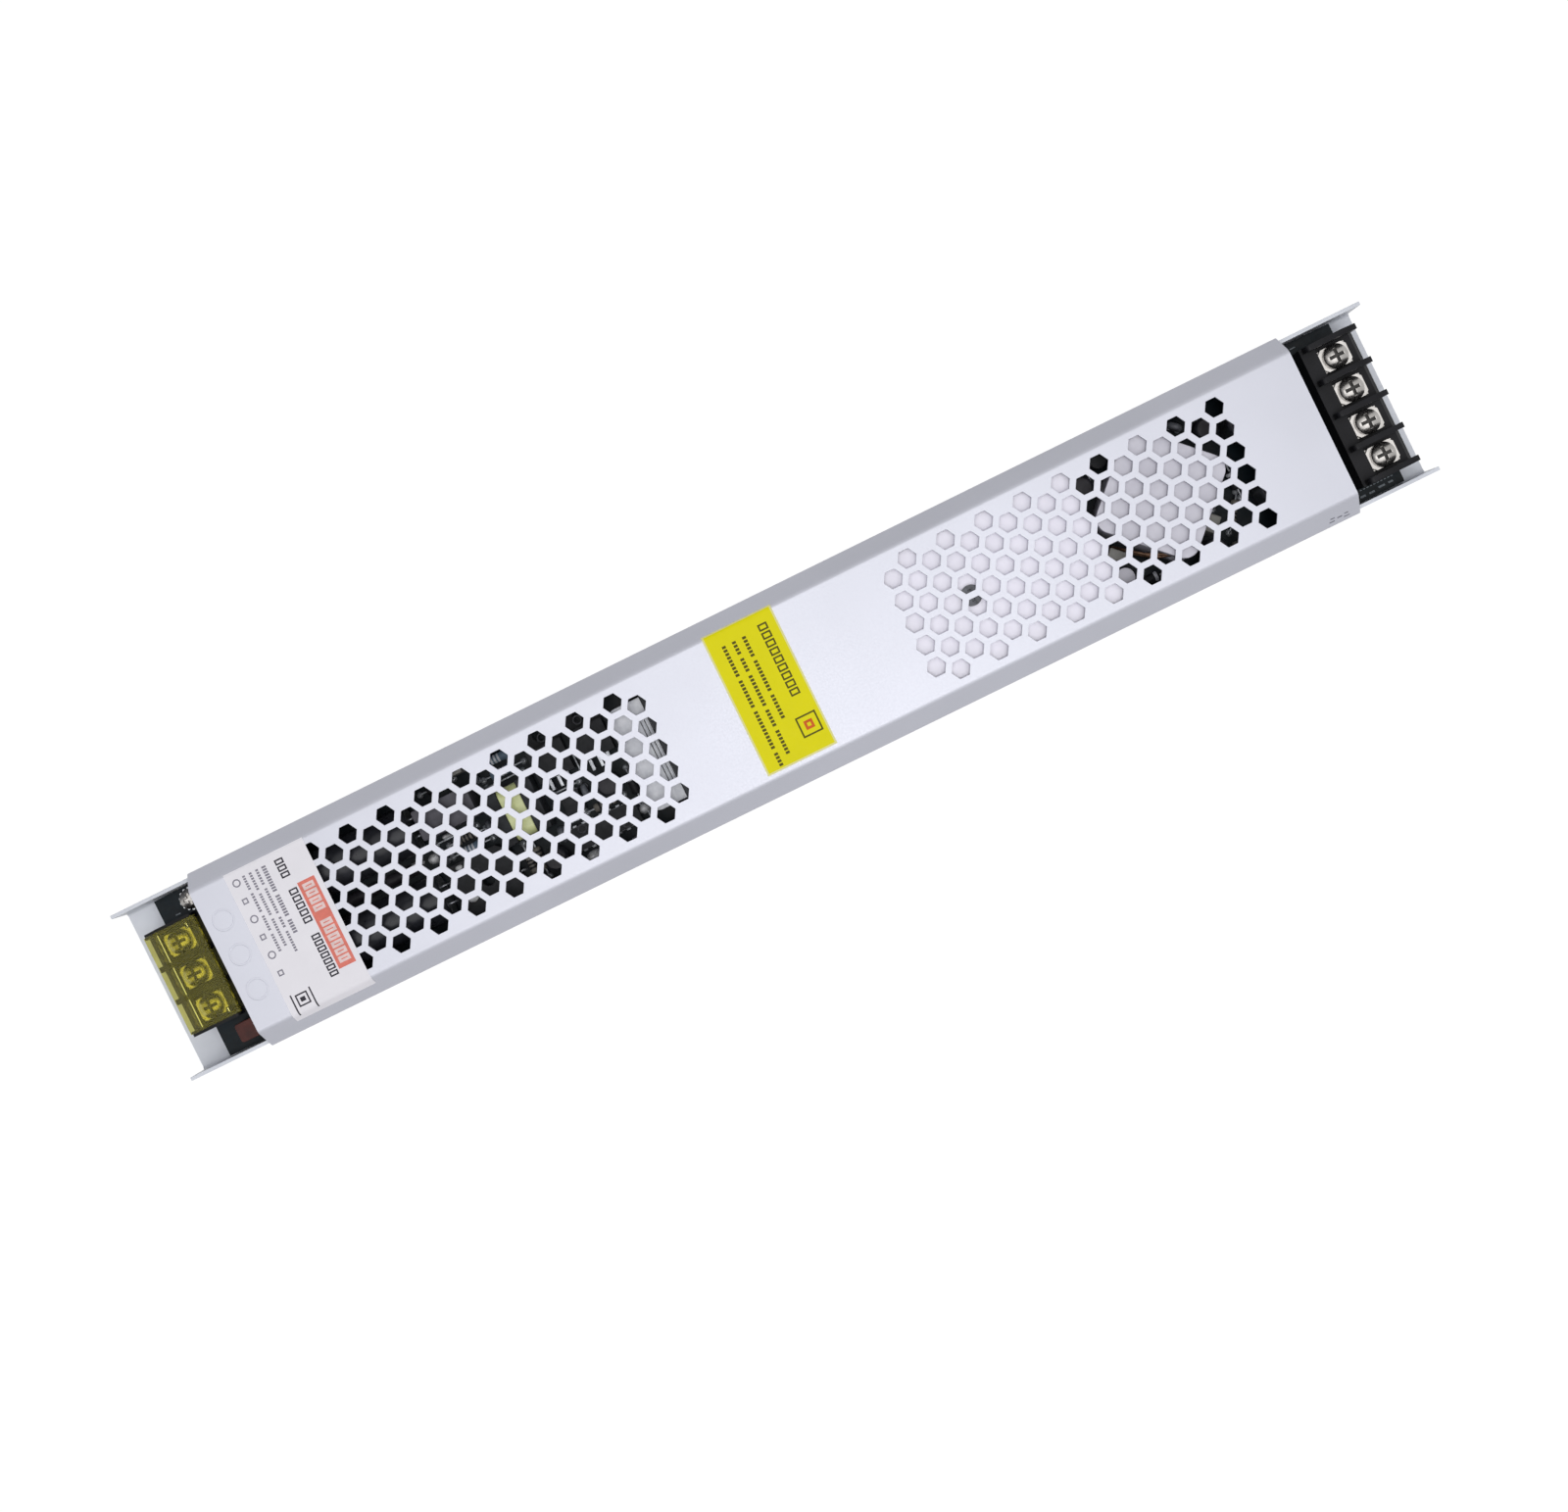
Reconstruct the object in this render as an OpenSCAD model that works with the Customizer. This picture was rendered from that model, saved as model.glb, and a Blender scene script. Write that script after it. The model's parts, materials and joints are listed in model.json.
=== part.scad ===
// Slim strip power supply for lighting: a folded aluminium channel, a perforated folded cover,
// screw terminals at both ends and the converter's board inside.
// X runs along the case towards the output end, Z is up, and the origin is under the middle of the case.

/* [Case] */
// Length of the base channel
case_l = 365; // [340:1:430]
// Width over the cover's skirts
case_w = 50.5; // [48.5:0.5:58]
// Height over the cover's flat top
case_h = 21; // [20:0.5:26]
// Sheet thickness of the base channel
base_t = 1; // [0.8:0.1:1.5]
// Inner radius of the base channel's folds
base_bend_r = 1; // [0.4:0.1:1.5]
// How far the channel's walls stop below the foot of the cover's shoulders
wall_drop = 1.2; // [1:0.1:4]
// Length of channel left open at the input end
input_bay = 23.8; // [22.5:0.1:30]
// Length of channel left open at the output end
output_bay = 23.8; // [21:0.1:30]

/* [Cover] */
// Sheet thickness of the cover
cover_t = 0.8; // [0.6:0.1:1.2]
// Width of the cover's flat top between the folds
top_w = 41; // [39:0.5:44]
// Drop of the sloped shoulders
shoulder_drop = 6; // [4.5:0.1:7]
// Height of the skirts' lower edges above the underside
skirt_z = 4; // [2:0.5:6]
// Inner radius of the cover's folds
cover_bend_r = 1; // [0.4:0.1:1.5]
// Gap between the skirts and the channel's walls
cover_gap = 0.1; // [0.05:0.05:0.3]
// Diameter of the stamped rings over the input terminals
ring_d = 6; // [4:0.5:8]
// Depth of the stamped rings
ring_depth = 0.15; // [0.1:0.05:0.3]
// Distance of the stamped rings from the cover's input edge
ring_inset = 5; // [4.2:0.1:8]
// Distance between neighbouring stamped rings
ring_pitch = 10; // [9:0.1:11]

/* [Vents] */
// Width of a vent hole across its flats
vent_af = 4.65; // [3.6:0.05:5.2]
// Distance between neighbouring vent holes
vent_pitch = 6.34; // [5.7:0.02:6.7]
// Columns of holes in each vent field
vent_cols = 18; // [10:1:19]
// Holes in the longer columns
vent_rows = 6; // [4:1:6]
// From the cover's input edge to the first column of holes
input_field_gap = 33.2; // [20:0.1:40]
// From the cover's output edge to the last column of holes
output_field_gap = 23.5; // [12:0.1:35]

/* [Board] */
// Thickness of the circuit board
board_t = 1.6; // [1:0.1:2]
// Clearance between the board and each wall
board_gap = 0.25; // [0.1:0.05:0.6]
// From the channel's input end to the board
board_setback_in = 9.5; // [8:0.1:10.5]
// From the channel's output end to the board
board_setback_out = 7.1; // [5:0.1:9]
// Height of the standoffs under the board
standoff_h = 3; // [2.4:0.1:3.6]
// Width of a standoff across its flats
standoff_af = 5.5; // [5:0.1:6]
// Gap between the standoffs and the channel's folds
standoff_gap = 0.1; // [0.05:0.05:0.5]
// Thickness of the insulating sheet on the channel's floor
insulator_t = 0.3; // [0.2:0.05:0.5]

/* [Terminals] */
// Distance between neighbouring terminal screws
pole_pitch = 9.5; // [9:0.1:10.2]
// Thickness of the barriers between terminals
fin_t = 1.5; // [1:0.1:1.6]
// Height of the barriers above the board
fin_h = 11.2; // [10.6:0.1:11.6]
// Depth of a terminal block from back to front
block_d = 15.6; // [15.2:0.1:16]
// From a block's back to its row of screws
screw_back = 8.4; // [8.2:0.1:8.8]
// Height of the contact plates' seat above the board
seat_h = 4.2; // [3.6:0.1:4.5]
// Height of the ledge along a block's back
ledge_h = 7; // [6:0.1:7.2]
// Depth of the ledge
ledge_d = 4.1; // [3.4:0.1:4.2]
// How far the output block's barriers stand out in front
nose = 0.3; // [0:0.1:1]
// From the channel's input end to the back of the input block
input_setback = 21.5; // [20.5:0.1:22]
// From the channel's output end to the back of the output block
output_setback = 19.4; // [18.4:0.1:20]
// Thickness of the contact plates
plate_t = 0.8; // [0.6:0.1:1]
// Width of the clamp washers
clamp_w = 6.3; // [6:0.1:7.3]
// Length of the clamp washers along the case
clamp_l = 8; // [7.2:0.1:8.4]
// Thickness of the clamp washers
clamp_t = 0.9; // [0.7:0.1:1.1]
// Thread diameter of the terminal screws
terminal_d = 3.5; // [3:0.1:4]
// Head diameter of the terminal screws
terminal_head_d = 6.6; // [5.5:0.1:6.8]
// Head height of the terminal screws
terminal_head_h = 2.2; // [1.8:0.1:2.5]

/* [Terminal flap] */
// Wall thickness of the flap over the input terminals
flap_t = 1; // [0.8:0.1:1.2]
// Gap between the flap and the tops of the barriers
flap_gap = 0.4; // [0.35:0.05:0.6]
// Radius of the flap's hinge lugs
lug_r = 1.4; // [1.2:0.1:1.5]
// Radius of the flap's hinge studs
stud_r = 0.9; // [0.6:0.05:1]
// Height of the ribs along the flap
rib_h = 0.6; // [0.3:0.1:0.8]
// From the block's back to the flap's front ridge
ridge_x = 11.8; // [11.4:0.1:12.2]
// Run of the flap's sloped front lip
lip_run = 3.9; // [3.4:0.1:4.4]
// Drop of the flap's sloped front lip
lip_drop = 3; // [2.4:0.1:3.2]

/* [Fasteners] */
// Thread diameter of the board's and cover's screws
small_d = 2.8; // [2.4:0.1:3]
// Head diameter of the board's screws
pan_head_d = 5.6; // [5:0.1:6]
// Head diameter of the cover's flush screws
flush_head_d = 5; // [4.4:0.1:5.4]
// Distance of the cover's screws from the cover's ends
cover_screw_inset = 14; // [10:0.5:24]
// Outer diameter of the toothed washers under the board's screws
washer_d = 6.4; // [6:0.1:6.4]

/* [Parts on the board] */
// Clearance over the tallest parts
head_gap = 0.9; // [0.6:0.1:1.6]
// Length of the bulk capacitors
bulk_l = 29.5; // [24:0.5:30]
// Length of the fuse
fuse_l = 8.4; // [6:0.1:9]
// Width of the fuse
fuse_w = 5.2; // [4:0.1:5.6]
// Outer diameter of the mains choke's core
choke_d = 18; // [14:0.5:19]
// Length of the main transformer's core across the case
main_core_l = 37; // [32:0.5:38]
// Width of the main transformer's core along the case
main_core_w = 20; // [16:0.5:22]
// How far the main winding stands out of its core at each side
main_overhang = 10.3; // [6:0.1:11]
// Width of the heat spreader across the case
spreader_w = 40; // [32:0.5:40]
// Sheet thickness of the heat spreader
spreader_t = 1.5; // [1:0.1:2]
// Width across the flats of the output choke's core
pot_w = 28; // [22:0.5:28]
// Diameter of the output capacitors
output_cap_d = 10; // [8:0.5:10.5]

/* [Hidden] */
$fn = 48;

// Overrun of cuts past the faces they open
cut = 1;
// Clearance around pins and screws in their holes
pin_gap = 0.05;
hole_gap = 0.15;
// Flat strips in each fold of the sheet
bend_steps = 8;

// Colours
aluminium = "#d9dadf";
nickel = "#c9c5ba";
black_plastic = "#1c1c1e";
ferrite = "#2c2d31";
copper = "#9a5a34";
film_yellow = "#d8e27a";
tape_grey = "#c9cbd0";

// Places along and across the case
end_x = case_l / 2;
cover_x0 = -end_x + input_bay;
cover_x1 = end_x - output_bay;
cover_mid = (cover_x0 + cover_x1) / 2;
foot_z = case_h - shoulder_drop;
wall_h = foot_z - wall_drop;
base_w = case_w - 2 * (cover_t + cover_gap);
inner_w = base_w - 2 * base_t;
board_w = inner_w - 2 * board_gap;
board_x0 = -end_x + board_setback_in;
board_x1 = end_x - board_setback_out;
board_z = base_t + standoff_h;
deck_z = board_z + board_t;
ceiling_z = case_h - cover_t;
tall_h = ceiling_z - deck_z - head_gap;
col_pitch = vent_pitch * cos(30);

// Outlines of the folded sheets, walked with the inside on the right
base_path = [
  [base_w / 2, wall_h], [base_w / 2, 0], [-base_w / 2, 0], [-base_w / 2, wall_h]
];
cover_path = [
  [-case_w / 2, skirt_z], [-case_w / 2, foot_z], [-top_w / 2, case_h],
  [top_w / 2, case_h], [case_w / 2, foot_z], [case_w / 2, skirt_z]
];

// Terminal blocks
input_poles = 3;
output_poles = 4;
input_back = -end_x + input_setback;
output_back = end_x - output_setback;
input_block_w = input_poles * pole_pitch + fin_t;
plate_z = seat_h + plate_t;
plate_margin = 0.1;
plate_w = clamp_w - 2 * plate_margin;
front_chamfer = 1.2;
leg_w = 3;
leg_gap = 0.1;
leg_x = ledge_d + leg_gap;
leg_below = 1.4;
hinge_z = fin_h - lug_r;
fin_back = 0.8;
hinge_x = fin_back + lug_r;
slope_shift = flap_t * 0.5;
lip_wall = flap_t * 1.3;
fin_slope_x = block_d - ridge_x + slope_shift;
fin_slope_z = fin_slope_x * (lip_drop - flap_t) / (lip_run - lip_wall + slope_shift);

// Board screws, one in the open input bay and the others under the cover
main_start = 117.4;
main_x0 = cover_x0 + main_start;
main_x1 = main_x0 + main_core_w + 2 * main_overhang;
board_screw_y = inner_w / 2 - base_bend_r - standoff_af / 2 - standoff_gap;
board_screw_xy = [
  [cover_x0 - 4.8, board_screw_y],
  [main_x1 + 3, board_screw_y],
  [main_x1 + 3, -board_screw_y],
  [cover_x1 - 8.7, board_screw_y],
  [cover_x1 - 8.7, -board_screw_y]
];

// Input block, near the middle unless the screw in the bay needs its room, and the fuse beside it
bay_gap = 0.1;
input_off = 0.75;
input_y = min(input_off, board_screw_y - washer_d / 2 - bay_gap - input_block_w / 2);
input_side = input_block_w / 2 - input_y;
fuse_y = -max((input_side + board_w / 2) / 2, input_side + bay_gap + fuse_w / 2);

clinch_step = 0.7;
clinch_d = standoff_af - 2 * clinch_step;
washer_t = 0.5;
pan_head_h = 2;
recess_l = 3.2;
recess_w = 0.8;
cover_screw_z = (skirt_z + wall_h) / 2;

// Places of the parts on the board, from the cover's two edges and the middle line
disc_x = cover_x0 + 3.6;
disc_y = 12;
y_cap_x = [cover_x0 + 11.7, cover_x0 + 22.7];
y_cap_y = 4.7 - board_w / 2;
x_cap_xy = [cover_x0 + 17.5, y_cap_y + 7.4];
choke_xy = [cover_x0 + 17.8, board_w / 2 - 13.5];
bulk_x = cover_x0 + 29.2;
bleed_x = [cover_x0 + 33, cover_x0 + 45];
bridge_xy = [cover_x0 + 70, -11];
coupling_xy = [cover_x0 + 68.5, 9.5];
driver_xy = [cover_x0 + 85.3, 1.8];
switch_x = [cover_x0 + 98.5, cover_x0 + 110.5];
switch_y = 5.6;
chip_xy = [cover_x0 + 104, -12];
optocoupler_xy = [cover_x0 + 99, -2.6];
small_cap_xy = [
  [cover_x0 + 110, -2.4], [cover_x0 + 89, -14], [cover_x1 - 62, -13.5], [cover_x1 - 37.5, -17.2],
  [cover_x1 - 26, 12], [cover_x1 - 62, 12.5]
];
pot_xy = [cover_x1 - 45.1, 2];
output_cap_y = 9.5;
disc_gap = 1.2;

// Mains choke and driver transformer
choke_h = 8;
choke_hole_d = choke_d / 2;
choke_wire = 1;
driver_tape_w = 5.9;
driver_yoke = 4;
driver_l = 15;
driver_h = 10;
driver_leg = 5;

// Main transformer
main_mid = (main_x0 + main_x1) / 2;
main_plate = 3.2;
main_leg = 10;
main_side_leg = 3.4;
main_window_h = tall_h - 2 * main_plate;
winding_gap = 0.2;
winding_l = main_core_l - 2 * main_side_leg - 1;

// Heat spreader
spreader_start = 6.5;
spreader_end = 64.2;
spreader_bend_r = 0.5;
spreader_x0 = main_x1 + spreader_start;
spreader_x1 = cover_x1 - spreader_end;
spreader_top = ceiling_z - 1.3;
spreader_path = [
  [-spreader_w / 2, deck_z], [-spreader_w / 2, spreader_top],
  [spreader_w / 2, spreader_top], [spreader_w / 2, deck_z]
];
spreader_screw_x = spreader_x1 - 36.3;
spreader_post_d = 6;

// Output choke
pot_plate = 3.2;
pot_post_d = 11;
pot_wall = 2.4;
pot_room_d = pot_w - 2 * pot_wall;
pot_winding_h = tall_h - 2 * pot_plate;

// Folded sheet: bends are arcs about centres that both faces share
function heading(p, i) = atan2(p[i + 1][1] - p[i][1], p[i + 1][0] - p[i][0]);
function along(a) = [cos(a), sin(a)];
function inward(a) = [sin(a), -cos(a)];
function turn(p, i) = (heading(p, i) - heading(p, i - 1) + 540) % 360 - 180;
function bend_centre(p, i, r) =
  p[i] - along(heading(p, i - 1)) * r * tan(abs(turn(p, i)) / 2) + inward(heading(p, i - 1)) * r;
function sheet_face(p, r, depth) = concat(
  [p[0] + depth * inward(heading(p, 0))],
  [for (i = [1 : len(p) - 2], k = [0 : bend_steps])
    bend_centre(p, i, r) - (r - depth) * inward(heading(p, i - 1) + turn(p, i) * k / bend_steps)],
  [p[len(p) - 1] + depth * inward(heading(p, len(p) - 2))]
);
function backwards(v) = [for (i = [len(v) - 1 : -1 : 0]) v[i]];

module sheet_profile(path, bend_r, t) {
  outer = sheet_face(path, bend_r + t, 0);
  inner = sheet_face(path, bend_r + t, t);
  polygon(concat(outer, backwards(inner)));
}

// Extrude a profile drawn in Y and Z along X
module along_x(l) {
  rotate([90, 0, 90]) linear_extrude(height = l, center = true) children();
}

// Extrude a profile drawn in X and Z across Y
module across_y(w) {
  rotate([90, 0, 0]) linear_extrude(height = w, center = true) children();
}

// Rectangle with round corners
module round_rect(l, w, r) {
  square([l - 2 * r, w], center = true);
  square([l, w - 2 * r], center = true);
  for (x = [-1, 1], y = [-1, 1]) {
    translate([x * (l / 2 - r), y * (w / 2 - r)]) circle(r = r);
  }
}

// Moulded box with round upright edges, standing on the board
module moulded_box(l, w, h, r) {
  linear_extrude(height = h) round_rect(l, w, r);
}

// Disc with a rounded rim, its axis along Z
module coated_disc(d, t) {
  rotate_extrude() {
    translate([0, -t / 2]) square([d / 2 - t / 2, t]);
    translate([d / 2 - t / 2, 0]) intersection() {
      circle(d = t);
      translate([0, -t / 2]) square([t, t]);
    }
  }
}

// Rolled aluminium can with a crimp near its foot, its axis along Z
module can(d, l) {
  r = d / 2;
  edge = 0.6;
  crimp_z = 2.4;
  rotate_extrude() polygon([
    [0, 0], [r - edge, 0], [r, edge], [r, crimp_z - edge], [r - edge, crimp_z],
    [r, crimp_z + edge], [r, l - edge], [r - edge, l], [0, l]
  ]);
}

// Flat transistor with a drilled metal tab and three bent leads, lying on its tab, leads towards -Y
module flat_transistor() {
  body = [10.2, 9, 4.4];
  tab = [10.2, 6.4, 1.3];
  tab_hole_d = 3.6;
  lead_w = 0.9;
  lead_pitch = 2.54;
  lead_run = 3;
  lead_z = 2.2;
  lead_t = 0.6;
  translate([-body[0] / 2, 0, 0]) cube(body);
  difference() {
    translate([-tab[0] / 2, body[1], 0]) cube(tab);
    translate([0, body[1] + tab[1] / 2, -cut]) cylinder(d = tab_hole_d, h = tab[2] + 2 * cut);
  }
  for (i = [-1 : 1]) {
    translate([i * lead_pitch - lead_w / 2, -lead_run, lead_z]) cube([lead_w, lead_run, lead_t]);
    translate([i * lead_pitch - lead_w / 2, -lead_run, 0]) cube([lead_w, lead_t, lead_z]);
  }
}

// Screw head with a shallow dome, its underside at z = 0
module pan_head(d, h) {
  dome_r = 0.75 * d;
  intersection() {
    cylinder(d = d, h = h);
    translate([0, 0, h - dome_r]) sphere(r = dome_r);
  }
}

// Cross recess cut down from z = 0
module cross_recess(l, w, depth) {
  for (a = [0, 90]) {
    rotate(a) translate([-l / 2, -w / 2, -depth]) cube([l, w, depth + cut]);
  }
}

module at_board_screws() {
  for (p = board_screw_xy) translate([p[0], p[1], 0]) children();
}

// Places of the cover's flush screws, with Z pointing into the case
module at_cover_screws() {
  for (x = [cover_x0 + cover_screw_inset, cover_x1 - cover_screw_inset], s = [-1, 1]) {
    translate([x, s * case_w / 2, cover_screw_z]) rotate([s * 90, 0, 0]) children();
  }
}

// Flush screw, or with a gap the hole for it
module flush_screw(gap, overrun, l) {
  head_h = (flush_head_d - small_d) / 2;
  translate([0, 0, -overrun]) cylinder(d = flush_head_d + 2 * gap, h = overrun);
  cylinder(d1 = flush_head_d + 2 * gap, d2 = small_d + 2 * gap, h = head_h);
  translate([0, 0, head_h]) cylinder(d = small_d + 2 * gap, h = l - head_h);
}

// Local frames of the two terminal blocks: back at x = 0, front towards the case's end, on the board
module at_input() {
  translate([input_back, input_y, deck_z]) mirror([1, 0, 0]) children();
}

module at_output() {
  translate([output_back, 0, deck_z]) children();
}

function pole_y(i, poles) = (i - (poles - 1) / 2) * pole_pitch;

module vent_field(x0, first) {
  for (c = [0 : vent_cols - 1]) {
    rows = vent_rows - (c + first) % 2;
    for (r = [0 : rows - 1]) {
      translate([x0 + c * col_pitch, (r - (rows - 1) / 2) * vent_pitch, ceiling_z - cut])
        cylinder(d = vent_af / cos(30), h = cover_t + 2 * cut, $fn = 6);
    }
  }
}

module base_channel() {
  color(aluminium) difference() {
    along_x(case_l) sheet_profile(base_path, base_bend_r, base_t);
    at_board_screws() translate([0, 0, -cut])
      cylinder(d = clinch_d + 2 * pin_gap, h = base_t + 2 * cut);
    at_cover_screws() flush_screw(hole_gap, cut, cover_t + cover_gap + base_t + cut);
  }
}

module top_cover() {
  ring_w = 0.5;
  color(aluminium) difference() {
    translate([cover_mid, 0, 0]) along_x(cover_x1 - cover_x0)
      sheet_profile(cover_path, cover_bend_r, cover_t);
    vent_field(cover_x0 + input_field_gap, 0);
    vent_field(cover_x1 - output_field_gap - (vent_cols - 1) * col_pitch, vent_cols - 1);
    at_cover_screws() flush_screw(pin_gap, cut, cover_t + cover_gap + base_t + cut);
    for (i = [0 : input_poles - 1]) {
      y = (i - (input_poles - 1) / 2) * ring_pitch;
      translate([cover_x0 + ring_inset, y, case_h - ring_depth]) difference() {
        cylinder(d = ring_d, h = ring_depth + cut);
        translate([0, 0, -cut]) cylinder(d = ring_d - 2 * ring_w, h = ring_depth + 3 * cut);
      }
    }
  }
}

module cover_screws() {
  past_wall = 1.6;
  recess_depth = 0.8;
  color(nickel) at_cover_screws() difference() {
    flush_screw(0, 0, cover_t + cover_gap + base_t + past_wall);
    rotate([180, 0, 0]) cross_recess(recess_l - 0.6, recess_w, recess_depth);
  }
}

module insulating_sheet() {
  inset = 4;
  fold_gap = 0.2;
  w = inner_w - 2 * (base_bend_r + fold_gap);
  color("#e9e9e4") difference() {
    translate([board_x0 + inset, -w / 2, base_t])
      cube([board_x1 - board_x0 - 2 * inset, w, insulator_t]);
    at_board_screws() translate([0, 0, base_t - cut])
      cylinder(d = standoff_af / cos(30) + 2 * hole_gap, h = insulator_t + 2 * cut);
  }
}

module board_standoffs() {
  color("#c8b46a") at_board_screws() difference() {
    union() {
      translate([0, 0, base_t]) cylinder(d = standoff_af / cos(30), h = standoff_h, $fn = 6);
      cylinder(d = clinch_d, h = base_t + standoff_h / 2);
    }
    translate([0, 0, base_t]) cylinder(d = small_d + 2 * pin_gap, h = standoff_h + cut);
  }
}

module circuit_board() {
  color("#15211f") difference() {
    translate([board_x0, -board_w / 2, board_z]) cube([board_x1 - board_x0, board_w, board_t]);
    at_board_screws() translate([0, 0, board_z - cut])
      cylinder(d = small_d + 2 * hole_gap, h = board_t + 2 * cut);
    at_input() leg_slots(input_poles, -board_t - cut, board_t + 2 * cut);
    at_output() leg_slots(output_poles, -board_t - cut, board_t + 2 * cut);
  }
}

module board_washers() {
  teeth = 14;
  tooth_h = 0.35;
  outline = [for (i = [0 : 4 * teeth - 1])
    (washer_d / 2 - (i % 4 < 2 ? 0 : tooth_h)) * along(i * 90 / teeth)];
  color(nickel) at_board_screws() translate([0, 0, deck_z]) linear_extrude(height = washer_t) difference() {
    polygon(outline);
    circle(d = small_d + 2 * hole_gap);
  }
}

module board_screws() {
  below_board = 1.8;
  recess_depth = 1.2;
  head_z = deck_z + washer_t;
  color(nickel) at_board_screws() difference() {
    union() {
      translate([0, 0, head_z]) pan_head(pan_head_d, pan_head_h);
      translate([0, 0, board_z - below_board]) cylinder(d = small_d, h = head_z - board_z + below_board);
    }
    translate([0, 0, head_z + pan_head_h]) cross_recess(recess_l, recess_w, recess_depth);
  }
}

module leg_slots(poles, z, h) {
  for (i = [0 : poles - 1]) {
    translate([leg_x, pole_y(i, poles) - leg_w / 2 - hole_gap, z])
      cube([plate_t + 2 * hole_gap, leg_w + 2 * hole_gap, h]);
  }
}

// Moulded barrier block: stepped body, a barrier beside every terminal, a well under each screw
module barrier_block(poles, out) {
  w = poles * pole_pitch + fin_t;
  well_floor = 0.8;
  well_gap = 0.4;
  body_side = [
    [0, 0], [block_d, 0], [block_d, seat_h - front_chamfer], [block_d - front_chamfer, seat_h],
    [ledge_d, seat_h], [ledge_d, ledge_h], [0, ledge_h]
  ];
  fin_side = concat(
    [[fin_back, 0], [block_d, 0], [block_d + out, out + 1], [block_d + out, fin_h - fin_slope_z],
     [block_d + out - fin_slope_x, fin_h]],
    [for (k = [0 : bend_steps]) [hinge_x, hinge_z] + lug_r * along(90 + 90 * k / bend_steps)]
  );
  difference() {
    union() {
      across_y(w) polygon(body_side);
      for (i = [0 : poles]) {
        translate([0, (i - poles / 2) * pole_pitch, 0]) across_y(fin_t) polygon(fin_side);
      }
    }
    leg_slots(poles, -cut, seat_h + 2 * cut);
    for (i = [0 : poles - 1]) {
      translate([screw_back, pole_y(i, poles), well_floor])
        cylinder(d = terminal_d + 2 * well_gap, h = seat_h + cut);
    }
  }
}

module contact_plates(poles) {
  x0 = leg_x + hole_gap;
  l = screw_back + clamp_l / 2 - plate_margin - x0;
  leg_h = plate_z + board_t + leg_below;
  for (i = [0 : poles - 1]) {
    translate([0, pole_y(i, poles), 0]) difference() {
      union() {
        translate([x0, -plate_w / 2, seat_h]) cube([l, plate_w, plate_t]);
        translate([x0, -leg_w / 2, plate_z - leg_h]) cube([plate_t, leg_w, leg_h]);
      }
      translate([screw_back, 0, seat_h - cut]) cylinder(d = terminal_d + 2 * pin_gap, h = plate_t + 2 * cut);
    }
  }
}

// Washer that clamps the wire, with its corners clipped
module clamp_washer(i, poles) {
  clip = 1;
  l = clamp_l / 2;
  w = clamp_w / 2;
  translate([screw_back, pole_y(i, poles), plate_z]) linear_extrude(height = clamp_t) difference() {
    polygon([
      [clip - l, -w], [l - clip, -w], [l, clip - w], [l, w - clip],
      [l - clip, w], [clip - l, w], [-l, w - clip], [-l, clip - w]
    ]);
    circle(d = terminal_d + 2 * hole_gap);
  }
}

module terminal_screw(i, poles) {
  slot_w = 0.9;
  slot_depth = 1.1;
  tip_z = 1.2;
  below = plate_t + seat_h - tip_z;
  translate([screw_back, pole_y(i, poles), plate_z + clamp_t]) difference() {
    union() {
      pan_head(terminal_head_d, terminal_head_h);
      translate([0, 0, -clamp_t - below]) cylinder(d = terminal_d, h = below + clamp_t + cut / 2);
    }
    translate([0, 0, terminal_head_h]) cross_recess(0.6 * terminal_head_d, slot_w, slot_depth);
    translate([-terminal_head_d, -slot_w / 2, terminal_head_h - slot_depth / 2])
      cube([2 * terminal_head_d, slot_w, cut]);
  }
}

module input_terminal_block() {
  color(black_plastic) at_input() difference() {
    barrier_block(input_poles, 0);
    translate([hinge_x, 0, hinge_z]) rotate([90, 0, 0])
      cylinder(r = stud_r + pin_gap, h = input_block_w + 2 * cut, center = true);
  }
}

module output_terminal_block() {
  color(black_plastic) at_output() barrier_block(output_poles, nose);
}

module input_contact_plates() {
  color(nickel) at_input() contact_plates(input_poles);
}

module output_contact_plates() {
  color(nickel) at_output() contact_plates(output_poles);
}

module input_clamp(i) {
  color(nickel) at_input() clamp_washer(i, input_poles);
}

module output_clamp(i) {
  color(nickel) at_output() clamp_washer(i, output_poles);
}

module input_screw(i) {
  color(nickel) at_input() terminal_screw(i, input_poles);
}

module output_screw(i) {
  color(nickel) at_output() terminal_screw(i, output_poles);
}

// Clear yellow flap, hinged on studs in the block's end barriers
module input_flap() {
  lug_w = 1.6;
  lug_side_gap = 0.3;
  stud_l = fin_t - lug_side_gap;
  side_inset = 0.85;
  flap_back = 0;
  under = fin_h + flap_gap;
  top = under + flap_t;
  rib_w = 0.9;
  side = [
    [flap_back, under], [ridge_x - slope_shift, under],
    [ridge_x + lip_run - lip_wall, top - lip_drop], [ridge_x + lip_run, top - lip_drop],
    [ridge_x, top], [ridge_x, top + rib_h], [ridge_x - rib_w, top + rib_h], [ridge_x - rib_w, top],
    [flap_back + rib_w, top], [flap_back + rib_w, top + rib_h], [flap_back, top + rib_h]
  ];
  lug_y = input_block_w / 2 - fin_t - lug_side_gap;
  color("#b9ad1c", 0.7) at_input() {
    across_y(input_block_w - 2 * side_inset) polygon(side);
    for (s = [-1, 1]) {
      translate([hinge_x, s * (lug_y - lug_w / 2), 0]) {
        translate([0, 0, hinge_z]) rotate([90, 0, 0]) cylinder(r = lug_r, h = lug_w, center = true);
        translate([-lug_r, -lug_w / 2, hinge_z]) cube([2 * lug_r, lug_w, under - hinge_z]);
      }
      translate([hinge_x, s * (lug_y + (lug_side_gap + stud_l) / 2), hinge_z]) rotate([90, 0, 0])
        cylinder(r = stud_r, h = lug_side_gap + stud_l, center = true);
    }
  }
}

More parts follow.
